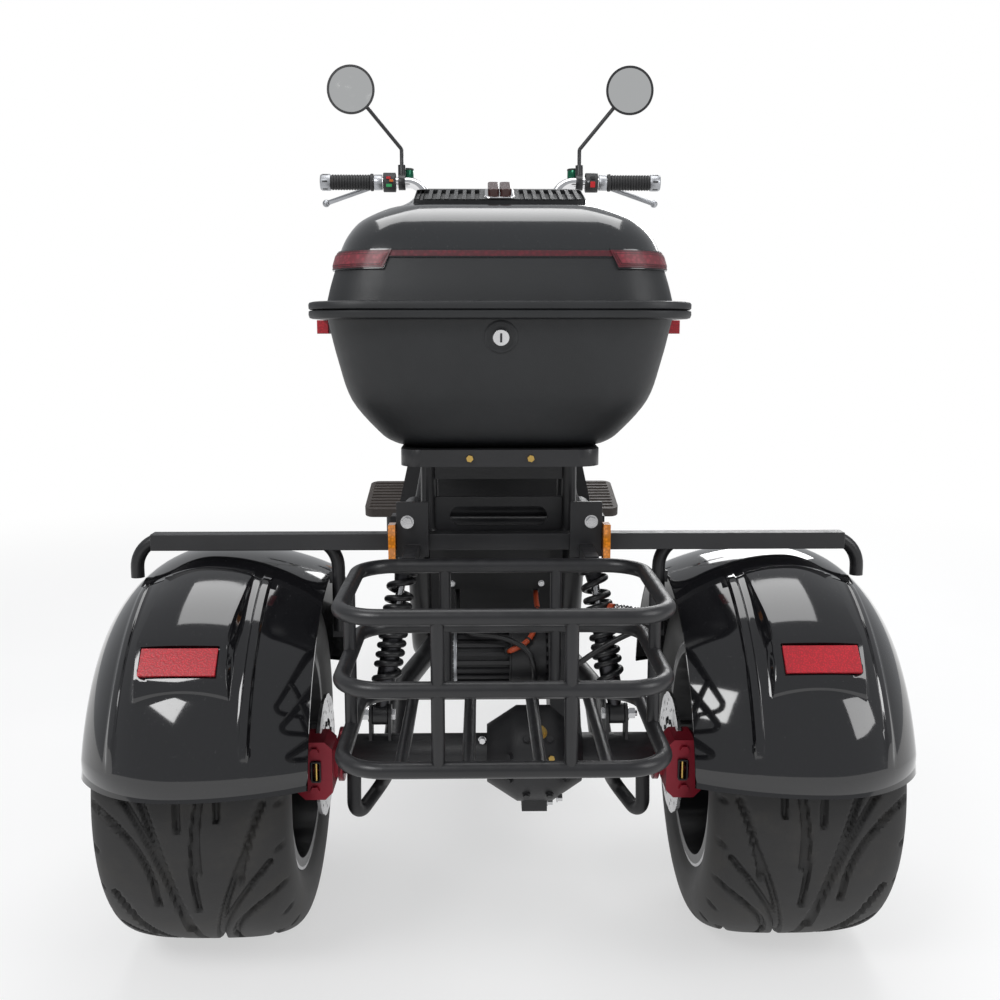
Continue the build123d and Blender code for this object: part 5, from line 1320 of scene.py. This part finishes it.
LID_LINE = (
    (0.7836, 0.1900, 0.1800, 0.066, 0.0),
    (0.8000, 0.1862, 0.1770, 0.065, 0.5),
    (0.8180, 0.1810, 0.1730, 0.063, 1.5),
    (0.8380, 0.1752, 0.1682, 0.061, 3.0),
    (0.8560, 0.1668, 0.1612, 0.058, 5.0),
    (0.8720, 0.1530, 0.1510, 0.053, 9.0),
    (0.8850, 0.1290, 0.1360, 0.046, 15.0),
    (0.8905, 0.1130, 0.1240, 0.040, 21.0),
    (0.8990, 0.1045, 0.0970, 0.035, 33.0),
    (0.9080, 0.0985, 0.0740, 0.031, 41.0),
    (0.9115, 0.0900, 0.0640, 0.028, 44.0),
)


def in_metres(sections):
    """The table's rows with the shift, which it gives in millimetres, in metres."""
    return [(z, half_x, half_y, corner, shift * MM) for z, half_x, half_y, corner, shift in sections]


def inset(sections, wall, floor, top):
    """The inside of a table of sections, between a floor and a top, from the top down."""
    kept = [(z, x - wall, y - wall, c - wall, shift) for z, x, y, c, shift in sections]
    return [(min(max(z, floor), top), *rest) for z, *rest in reversed(kept)]


def lid_loop(z, grow):
    """Points round the lid at a height, moved outward by grow."""
    rows = shell_rows(in_metres(LID_LINE), BOX_Y, 4)
    for low, high in zip(rows, rows[1:]):
        if low[0].z <= z <= high[0].z:
            share = (z - low[0].z) / max(1e-9, high[0].z - low[0].z)
            loop = [a.lerp(b, share) for a, b in zip(low, high)]
    count = len(loop)
    moved = []
    for i, point in enumerate(loop):
        along = loop[(i + 1) % count] - loop[i - 1]
        outward = Vector((along.y, -along.x, 0)).normalized()
        moved.append(point + outward * grow)
    return moved


def evened(run, count):
    """As many even steps along a run of points as asked."""
    lengths = [0.0]
    for a, b in zip(run, run[1:]):
        lengths.append(lengths[-1] + (b - a).length)
    row = []
    k = 0
    for i in range(count + 1):
        place = lengths[-1] * i / count
        while k < len(run) - 2 and lengths[k + 1] < place:
            k += 1
        row.append(run[k].lerp(run[k + 1], (place - lengths[k]) / (lengths[k + 1] - lengths[k])))
    return row


class TRIKE_OT_top_box(bpy.types.Operator):
    """Top box: open tub, domed lid with a ribbed top, lamp strip, grip, lock and side reflectors"""

    bl_idname = "trike.top_box"
    bl_label = "Top box"

    def hinge(self, build, places, z):
        """Knuckles of the lid's hinges, each with a leaf at a height."""
        for x, width in places:
            profile = [(-width / 2, 0.0032), (-width / 2, 0.0064), (-width / 2 + 0.0006, 0.007)]
            profile += [(-reach, radius) for reach, radius in reversed(profile)]
            build.lathe((x, HINGE_Y, SEAM_Z), (1, 0, 0), profile, 24)
            build.block((x, HINGE_Y - 0.006, z), (width, 0.012, 0.0065))

    def strip(self, build, low, high, lift, slot, side=0, near=0.0, slant=0.0):
        """A band on the lid between two heights: the whole back, or one end from near, cut off aslant."""
        rows = []
        for z, grow in ((low, -0.0006), (low + 0.0007, lift), (high - 0.0007, lift), (high, -0.0006)):
            loop = lid_loop(z, grow)
            turn = max(range(len(loop)), key=lambda i: loop[i].y)
            run = [p for p in loop[turn:] + loop[:turn] if p.y < -0.655]
            if run[0].x > run[-1].x:
                run.reverse()
            if side:
                edge = near + slant * (high - z)
                run = [p for p in run if p.x * side > edge - 0.02]
                if side < 0:
                    run.reverse()
                for i, (a, b) in enumerate(zip(run, run[1:])):
                    if a.x * side <= edge < b.x * side:
                        run = [a.lerp(b, (edge - a.x * side) / ((b.x - a.x) * side))] + run[i + 1 :]
                        break
            rows.append(evened(run, 36 if side else 120))
        build.grid(rows, slot, close_rows=True)

    def tub(self):
        """Open tub with its rim and the outer ears of the hinges."""
        build = Build("box_matt")
        outer = shell_rows(in_metres(TUB_LINE), BOX_Y, 5)
        band = shell_rows(in_metres(TUB_BAND), BOX_Y, 1)
        inner = shell_rows(in_metres(inset(TUB_LINE, BOX_WALL, 0.6245, 0.7730)), BOX_Y, 3)
        build.grid(outer + band + inner, close_columns=True)
        count = len(outer[0])
        last = len(build.verts) - count
        build.faces += [tuple(range(count)), tuple(range(last, last + count))]
        build.slots += [0, 0]
        ears = [(side * HINGE_X + ear * 0.018, 0.010) for side in (-1, 1) for ear in (-1, 1)]
        self.hinge(build, ears, 0.769)
        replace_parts(build.done("box_tub", "chassis", 38.0, 0.0004), "box_body")

    def lid(self):
        """Domed lid, glossy on top, with ribs in a rounded frame on the slope behind its highest part."""
        build = Build("box_matt", "box_gloss")
        outer = shell_rows(in_metres(LID_LINE), BOX_Y, 5)
        band = shell_rows(in_metres(LID_BAND), BOX_Y, 1)
        inner = shell_rows(in_metres(inset(LID_LINE, BOX_WALL, 0.7744, 0.9075)), BOX_Y, 2)
        count = len(outer[0])
        split = next(i for i, row in enumerate(outer) if row[0].z > 0.830)
        build.grid(band + outer[: split + 1], 0, close_columns=True)
        build.grid(outer[split:], 1, close_columns=True)
        last = len(build.verts) - count
        build.faces.append(tuple(range(last, last + count)))
        build.slots.append(1)
        ceiling = len(build.verts)
        build.grid(inner + [band[0]], 0, close_columns=True)
        build.faces.append(tuple(range(ceiling, ceiling + count)))
        build.slots.append(0)
        self.hinge(build, [(side * HINGE_X, 0.024) for side in (-1, 1)], 0.779)
        middle, upright = RIB_MIDDLE, RIB_UPRIGHT
        build.prism(middle - upright * 0.004, (1, 0, 0), upright, rounded(0.096, 0.043, 0.014), RIB_HEIGHT, 0)
        slits = []
        for side in (-1, 1):
            slits += [rounded(0.0027, 0.0335, 0.0012, 3, side * (0.0252 + 0.0096 * i)) for i in range(8)]
        build.plate(middle, (1, 0, 0), upright, rounded(0.0945, 0.0415, 0.013), slits, RIB_HEIGHT, 0)
        made = build.done("box_lid_shell", "box_lid", 38.0, 0.0004)
        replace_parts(made, "box_lid")

    def lamps(self):
        """Red strip round the lid's back, with a framed lamp at each end."""
        build = Build("lamp_red", "lamp_bright", "box_gloss")
        self.strip(build, 0.8275, 0.8375, 0.0012, 2)
        self.strip(build, 0.8290, 0.8362, 0.0020, 0)
        # columns: low and high edge, lift off the lid, start across, finish slot
        for side in (-1, 1):
            for low, high, lift, near, slot in (
                (0.8160, 0.8380, 0.0026, 0.1110, 2),
                (0.8172, 0.8366, 0.0034, 0.1130, 0),
                (0.8194, 0.8346, 0.0038, 0.1175, 1),
                (0.8204, 0.8336, 0.0042, 0.1190, 0),
                (0.8214, 0.8326, 0.0044, 0.1210, 1),
            ):
                self.strip(build, low, high, lift, slot, side, near, 0.55)
        made = build.done("lid_lamp_strip", "box_lid", 40.0)
        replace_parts(made, "lid_lamp")

    def grip(self):
        """Two brown bars on a bright base in the middle of the ribs."""
        build = Build("brown_gloss", "chrome")
        base, upright = RIB_MIDDLE + RIB_UPRIGHT * 0.0044, RIB_UPRIGHT
        build.prism(base, (1, 0, 0), upright, rounded(0.0165, 0.031, 0.006), 0.0022, 1)
        for side in (-1, 1):
            place = RIB_MIDDLE + Vector((side * 0.0068, 0, 0)) + upright * 0.0062
            build.prism(place, (1, 0, 0), upright, rounded(0.0062, 0.0275, 0.0045), 0.0085, 0)
        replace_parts(build.done("lid_grip", "box_lid", 50.0, 0.0016), "lid_handle")

    def lock(self):
        """Lock in a dished surround, square to the tub's back."""
        build = Build("box_matt", "bright_steel", "dark_steel")
        out = Vector((0, -0.979, -0.204)).normalized()
        centre = Vector((0, -0.7830, 0.746))
        dish = [(0.0, 0.0185), (0.0018, 0.0178), (0.0026, 0.0160), (0.0012, 0.0125), (0.0008, 0.0)]
        build.lathe(centre, out, dish, 40, 0)
        barrel = [(0.0008, 0.0092), (0.0052, 0.0092), (0.0062, 0.0084), (0.0062, 0.0)]
        build.lathe(centre, out, barrel, 36, 1)
        # the keyhole is a thin dark plate on the barrel's face: painted shade where the slot is
        build.block(centre + out * 0.0061, (0.0024, 0.0098, 0.0006), 2, (1, 0, 0), out)
        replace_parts(build.done("tub_lock", "chassis", 35.0, 0.0002), "box_lock")

    def execute(self, context):
        self.tub()
        self.lid()
        self.lamps()
        self.grip()
        self.lock()
        dress("side_latches", "reflector_red", bevel=0.0012)
        return {"FINISHED"}


# Seat


SEAT_MIDDLE_Y = -0.161
SEAT_LOW, SEAT_HIGH = 0.6200, 0.7090
SEAM_RISE = SEAT_LOW + 0.058
# columns: share of the height, half width, half length, corner
SEAT_LINE = (
    (0.00, 0.140, 0.220, 0.056),
    (0.06, 0.145, 0.226, 0.058),
    (0.30, 0.1475, 0.2285, 0.060),
    (0.62, 0.1470, 0.2280, 0.060),
    (0.80, 0.1430, 0.2240, 0.058),
    (0.92, 0.1320, 0.2130, 0.052),
    (0.985, 0.1120, 0.1930, 0.046),
    (1.00, 0.0800, 0.1600, 0.040),
)


class TRIKE_OT_seat(bpy.types.Operator):
    """Padded seat with cross channels and piping, puffed by a cloth simulation"""

    bl_idname = "trike.seat"
    bl_label = "Seat"

    def puffed(self, made):
        """The piece's mesh with even faces, puffed by cloth under pressure, by 6 mm at most."""
        context = bpy.context
        most = 0.006
        remesh = made.modifiers.new("Even faces", "REMESH")
        remesh.mode = "VOXEL"
        remesh.voxel_size = 0.006
        cloth = made.modifiers.new("Cloth", "CLOTH")
        cloth.settings.use_pressure = True
        cloth.settings.uniform_pressure_force = 4.0
        cloth.settings.effector_weights.gravity = 0.0
        cloth.point_cache.frame_start, cloth.point_cache.frame_end = 1, 20
        plain = bpy.data.meshes.new_from_object(made.evaluated_get(context.evaluated_depsgraph_get()))
        for step in range(1, 21):
            context.scene.frame_set(step)
            context.evaluated_depsgraph_get()
        puffy = bpy.data.meshes.new_from_object(made.evaluated_get(context.evaluated_depsgraph_get()))
        context.scene.frame_set(1)
        made.modifiers.clear()
        if len(puffy.vertices) == len(plain.vertices):
            for vertex, rest in zip(puffy.vertices, plain.vertices):
                moved = vertex.co - rest.co
                if moved.length > most:
                    vertex.co = rest.co + moved.normalized() * most
        return puffy

    def execute(self, context):
        middle_y = SEAT_MIDDLE_Y
        build = Build("seat_leather")
        sections = []
        for share, half_x, half_y, corner in SEAT_LINE:
            z = SEAT_LOW + 0.003 + (SEAT_HIGH - SEAT_LOW - 0.012) * share
            sections.append((z, half_x - 0.006, half_y - 0.006, corner, 0.0))
        rows = shell_rows(sections, middle_y, 3)
        build.grid(rows, close_columns=True)
        count = len(rows[0])
        build.faces += [tuple(range(count)), tuple(len(build.verts) - count + i for i in range(count))]
        build.slots += [0, 0]
        made = build.done("seat_pad", "chassis", 60.0)
        mesh = self.puffed(made)
        made.data = mesh
        # channels, seam under the crown and the space that the solid holds, after the simulation
        for vertex in mesh.vertices:
            point = vertex.co
            crown = ramp(point.z, SEAT_LOW + 0.060, SEAT_LOW + 0.078)
            for k in range(7):
                y = middle_y - 0.135 + 0.045 * k
                inside = 1 - ramp(abs(point.x), 0.100, 0.122)
                point.z -= 0.0055 * crown * inside * exp(-(((point.y - y) / 0.0050) ** 2))
            rim = exp(-(((point.z - SEAM_RISE) / 0.0032) ** 2))
            point.x -= 0.0018 * rim * point.x / 0.147
            point.y -= 0.0018 * rim * (point.y - middle_y) / 0.228
            point.x = max(-0.1496, min(0.1496, point.x))
            point.y = max(middle_y - 0.2306, min(middle_y + 0.2306, point.y))
            point.z = max(SEAT_LOW, min(SEAT_HIGH + 0.002, point.z))
        mesh.materials.clear()
        mesh.materials.append(finish("seat_leather"))
        mesh.shade_smooth()
        fine = made.modifiers.new("Fine", "SUBSURF")
        fine.levels = fine.render_levels = 1
        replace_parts(made, "seat_cushion")
        piping = Build("seat_leather")
        tree = ray_tree(mesh)
        loop = []
        for x, y in rounded(0.200, 0.280, 0.090, 16, 0.0, middle_y):
            inward = Vector((x * 0.3, middle_y + (y - middle_y) * 0.5, 0)) - Vector((x, y, 0))
            loop.append(tree.ray_cast(Vector((x, y, SEAM_RISE)), inward.normalized())[0])
        piping.bar(loop, 0.0021, 10, closed=True)
        piping.done("seat_piping", "chassis", 60.0)
        return {"FINISHED"}


# Steering


class TRIKE_OT_steering(bpy.types.Operator):
    """Finishes of the fork, bars, controls, lamps and front fender"""

    bl_idname = "trike.steering"
    bl_label = "Fork and bars"

    def execute(self, context):
        for node, finish_name, bevel in (
            ("fork_legs", "silver_cast", 0.001),
            ("fork_crowns", "cast_black", 0.0012),
            ("handlebar", "chrome", 0.0006),
            ("brake_levers", "silver_cast", 0.0008),
            ("brake_reservoirs", "green_gloss", 0.0008),
            ("switch_pods", "case_matt", 0.001),
            ("mirrors", "powder_coat", 0.0008),
            ("mirror_glass", "mirror_face", 0.0),
            ("display", "case_matt", 0.0015),
            ("headlight", "fender_gloss", 0.001),
            ("front_lamps", "amber", 0.001),
            ("front_fender", "fender_gloss", 0.0008),
            ("front_caliper", "brake_red", 0.0012),
        ):
            dress(node, finish_name, bevel=bevel)
        self.ribbed_grips()
        self.controls()
        self.front_lights()
        return {"FINISHED"}

    def ribbed_grips(self):
        """Rubber grips with ribs, each with a bright end."""
        build = Build("soft_rubber", "silver_cast")
        for side in (-1, 1):
            inner = Vector((side * 0.248, 0.456, 1.062))
            profile = [(0.0, 0.0112), (0.0, 0.0175), (0.004, 0.0182), (0.006, 0.0175)]
            for rib in range(14):
                rise = ((0.008, 0.0145), (0.009, 0.0160), (0.012, 0.0160), (0.013, 0.0145))
                profile += [(along + rib * 0.0058, radius) for along, radius in rise]
            profile += [(0.0905, 0.0145)]
            build.lathe(inner, (side, 0, 0), profile, 32, 0)
            cap = [(0.0905, 0.0165), (0.0925, 0.0172), (0.108, 0.0172), (0.112, 0.0150), (0.112, 0.0)]
            build.lathe(inner, (side, 0, 0), [(0.0905, 0.0), *cap], 32, 1)
            for k in range(6):
                angle = tau * k / 6
                across = Vector((0, cos(angle), sin(angle)))
                place = inner + Vector((side * 0.101, 0, 0)) + across * 0.0168
                build.block(place, (0.011, 0.0035, 0.0012), 0, (1, 0, 0), across)
        made = build.done("ribbed_grips", "steering", 35.0, 0.0003)
        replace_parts(made, "grips")

    def controls(self):
        """Switch buttons, reservoir caps, clamp screws and the dial."""
        build = Build("case_matt", "button_red", "button_orange", "button_green", "chrome", "dial_glass")
        back = Vector((0, -1, 0))
        # columns: place across, height, width, height of the button, finish slot
        for x, z, width, height, slot in (
            (-0.2150, 1.0690, 0.009, 0.005, 1),
            (-0.2090, 1.0630, 0.008, 0.005, 2),
            (-0.2140, 1.0535, 0.012, 0.006, 3),
            (0.2150, 1.0560, 0.010, 0.012, 1),
            (0.2150, 1.0700, 0.008, 0.005, 0),
        ):
            place = seat_on(["switch_pods"], (x, 0.2, z), (0, 1, 0))[0]
            start = place - back * 0.004
            border = rounded(width / 2 + 0.001, height / 2 + 0.001, 0.0015, 3)
            build.prism(start, (1, 0, 0), back, border, 0.0062, 0)
            build.prism(start, (1, 0, 0), back, rounded(width / 2, height / 2, 0.0012, 3), 0.0082, slot)
        for side in (-1, 1):
            low, high = side_box("brake_reservoirs", side)
            middle = (low + high) / 2
            half = min(high.x - low.x, high.y - low.y) / 2
            cap = [(0.0, 0.0), (0.0, half * 0.98), (0.0008, half + 0.0006), (0.0035, half + 0.0006)]
            cap += [(0.0045, half * 0.9), (0.0045, 0.0)]
            build.lathe((middle.x, middle.y, high.z - 0.0040), (0, 0, 1), cap, 28, 0)
            for x in (middle.x - half * 0.55, middle.x + half * 0.55):
                build.bolt((x, middle.y, high.z + 0.0004), (0, 0, 1), 0.003, 0.001, 4, False)
            place = seat_on(["switch_pods"], (side * 0.2055, 0.2, 1.062), (0, 1, 0))[0]
            build.bolt(place, back, 0.004, 0.002, 4, False)
        # the dial with its bezel, its glass and eleven marks
        place, normal = seat_on(["display"], (0, 0.440, 1.2), (0, 0, -1))
        bezel = [(-0.004, 0.0335), (0.0006, 0.0345), (0.0022, 0.0335), (0.0022, 0.0305), (0.0010, 0.0300)]
        build.lathe(place, normal, bezel, 48, 0)
        build.lathe(place, normal, [(0.0008, 0.0300), (0.0009, 0.020), (0.0009, 0.0)], 48, 5)
        flat = normal.cross(Vector((1, 0, 0))).normalized()
        for k in range(11):
            angle = radians(-40 + 26 * k)
            out = Vector((1, 0, 0)) * cos(angle) + flat * sin(angle)
            build.block(place + out * 0.0245 + normal * 0.0012, (0.005, 0.0011, 0.0006), 4, out, normal)
        build.done("bar_controls", "steering", 35.0, 0.0003)

    def front_lights(self):
        """The headlight's rim, dish with its ribs, and glass."""
        low, high = (Vector(corner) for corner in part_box("headlight_lens"))
        centre = Vector(((low.x + high.x) / 2, low.y, (low.z + high.z) / 2))
        reach = (high.x - low.x) / 2
        ahead = (0, 1, 0)
        build = Build("clear_lens", "chrome", "case_matt", "powder_coat")
        rim = [(0.0, 0.0), (0.0, reach), (0.0056, reach), (0.0060, reach - 0.0012)]
        rim += [(0.0060, reach - 0.006), (0.0040, reach - 0.007)]
        build.lathe(centre, ahead, rim, 64, 3)
        # columns: finish slot, steps round it, points (along, share of the lamp's radius)
        for slot, steps, line in (
            (1, 64, ((0.0040, 1 - 0.007 / reach), (0.0030, 0.75), (0.0018, 0.5), (0.0010, 0.34))),
            (2, 48, ((0.0010, 0.34), (0.0034, 0.33), (0.0034, 0.27), (0.0012, 0.26))),
            (0, 48, ((0.0012, 0.26), (0.0040, 0.2), (0.0052, 0.1), (0.0055, 0.0))),
        ):
            build.lathe(centre, ahead, [(along, reach * share) for along, share in line], steps, slot)
        for k in range(32):
            angle = tau * k / 32
            out = Vector((cos(angle), 0, sin(angle)))
            place = centre + out * reach * 0.61 + Vector((0, 0.0024, 0))
            build.block(place, (reach * 0.44, 0.0007, 0.0010), 2, out, ahead)
        made = build.done("headlight_face", "steering", 35.0)
        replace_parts(made, "headlight_lens")


# Stage

WHITE = (1.0, 1.0, 1.0, 1.0)


class TRIKE_OT_stage(bpy.types.Operator):
    """Pale floor, soft lamps and the camera at the photograph's viewing angle"""

    bl_idname = "trike.stage"
    bl_label = "Floor, lamps and camera"

    def floor_finish(self):
        """Pale floor that keeps the shadow near the trike and fades to white far away."""
        made = Finish("pale_floor", (0.86, 0.86, 0.86), 0.7)
        x, y, z = made.axes()
        far = ((x**2 + y**2).root()).step(1.1, 3.2)
        camera = made.node("ShaderNodeLightPath", output="Is Camera Ray")
        seen = camera.either(camera.beside("Is Glossy Ray")).either(camera.beside("Is Transmission Ray"))
        glow = made.node("ShaderNodeEmission", inputs={"Color": WHITE, "Strength": 1.0})
        plain = Value(made, made.shader.outputs[0])
        inputs = {0: seen * (0.55 + 0.45 * far), 1: plain, 2: glow}
        made.show(made.node("ShaderNodeMixShader", inputs=inputs))
        made.set("Base Color", made.mix(made.noise(3.0), (0.84, 0.84, 0.84), (0.88, 0.88, 0.88)))
        return made.material

    def execute(self, context):
        scene = context.scene
        steps = 48
        verts = [(0.0, 0.0, 0.0)]
        faces = []
        for ring, radius in enumerate((0.5, 1.0, 2.0, 4.0, 9.0)):
            for i in range(steps):
                verts.append((radius * cos(tau * i / steps), radius * sin(tau * i / steps), 0.0))
                j = (i + 1) % steps
                base = 1 + ring * steps
                if ring:
                    faces.append((base + i, base + j, base - steps + j, base - steps + i))
                else:
                    faces.append((0, base + i, base + j))
        mesh = bpy.data.meshes.new("floor")
        mesh.from_pydata(verts, [], faces)
        mesh.materials.append(self.floor_finish())
        floor = bpy.data.objects.new("floor", mesh)
        scene.collection.objects.link(floor)

        world = bpy.data.worlds.new("Studio")
        sky = Nodes(world)
        scene.world = world
        camera = sky.node("ShaderNodeLightPath", output="Is Camera Ray")
        seen = camera.either(camera.beside("Is Transmission Ray"))
        light = sky.node("ShaderNodeBackground", inputs={"Color": (0.95, 0.97, 1.0, 1.0), "Strength": 0.45})
        backdrop = sky.node("ShaderNodeBackground", inputs={"Color": WHITE, "Strength": 1.0})
        sky.show(sky.node("ShaderNodeMixShader", inputs={0: seen, 1: light, 2: backdrop}))

        # columns: name, place, aimed at, width, height, power
        for name, place, target, width, height, power in (
            ("key_lamp", (-1.6, -2.6, 2.6), (0, -0.5, 0.5), 1.6, 1.0, 46),
            ("fill_lamp", (2.3, -2.0, 1.9), (0, -0.5, 0.5), 1.2, 1.6, 26),
            ("top_lamp", (0.0, 0.2, 3.0), (0, 0, 0.4), 2.4, 1.6, 40),
            ("front_lamp", (1.2, 3.0, 2.2), (0, 0.4, 0.5), 1.8, 1.4, 40),
        ):
            lamp = bpy.data.lights.new(name, "AREA")
            lamp.shape = "RECTANGLE"
            lamp.size = width
            lamp.size_y = height
            lamp.energy = power
            held = bpy.data.objects.new(name, lamp)
            held.location = place
            held.rotation_euler = (Vector(target) - Vector(place)).to_track_quat("-Z", "Y").to_euler()
            scene.collection.objects.link(held)

        lens_data = bpy.data.cameras.new("photo_camera")
        lens_data.lens = 39.6
        lens_data.sensor_width = 36.0
        camera = bpy.data.objects.new("photo_camera", lens_data)
        camera.location = (-0.021, -1.956, 0.753)
        camera.rotation_euler = (radians(90 - 8.79), 0.0, radians(-0.97))
        scene.collection.objects.link(camera)
        scene.camera = camera
        scene.view_settings.view_transform = "Standard"
        return {"FINISHED"}


# Add-on


class TRIKE_PT_panel(bpy.types.Panel):
    """Lists the pieces and their sizes and colours"""

    bl_idname = "TRIKE_PT_panel"
    bl_label = "Electric trike scooter"
    bl_space_type = "VIEW_3D"
    bl_region_type = "UI"
    bl_category = "Trike"

    def draw(self, context):
        for group in (context.scene.trike_sizes, context.scene.trike_colours):
            for prop in group.bl_rna.properties:
                if prop.identifier not in ("rna_type", "name"):
                    self.layout.prop(group, prop.identifier)
        for operator in OPERATORS:
            self.layout.operator(operator.bl_idname)


OPERATORS = (
    TRIKE_OT_stage,
    TRIKE_OT_tyres,
    TRIKE_OT_wheels,
    TRIKE_OT_fenders,
    TRIKE_OT_chassis,
    TRIKE_OT_shocks,
    TRIKE_OT_cables,
    TRIKE_OT_fittings,
    TRIKE_OT_top_box,
    TRIKE_OT_seat,
    TRIKE_OT_steering,
)
CLASSES = (TrikeSizes, TrikeColours, *OPERATORS, TRIKE_PT_panel)


def register():
    for item in CLASSES:
        bpy.utils.register_class(item)
    bpy.types.Scene.trike_sizes = PointerProperty(type=TrikeSizes)
    bpy.types.Scene.trike_colours = PointerProperty(type=TrikeColours)


def unregister():
    del bpy.types.Scene.trike_colours
    del bpy.types.Scene.trike_sizes
    for item in reversed(CLASSES):
        bpy.utils.unregister_class(item)


def main():
    register()
    bpy.ops.trike.stage()
    bpy.ops.trike.tyres()
    bpy.ops.trike.wheels()
    bpy.ops.trike.fenders()
    bpy.ops.trike.chassis()
    bpy.ops.trike.shocks()
    bpy.ops.trike.cables()
    bpy.ops.trike.fittings()
    bpy.ops.trike.top_box()
    bpy.ops.trike.seat()
    bpy.ops.trike.steering()


if __name__ == "__main__":
    main()
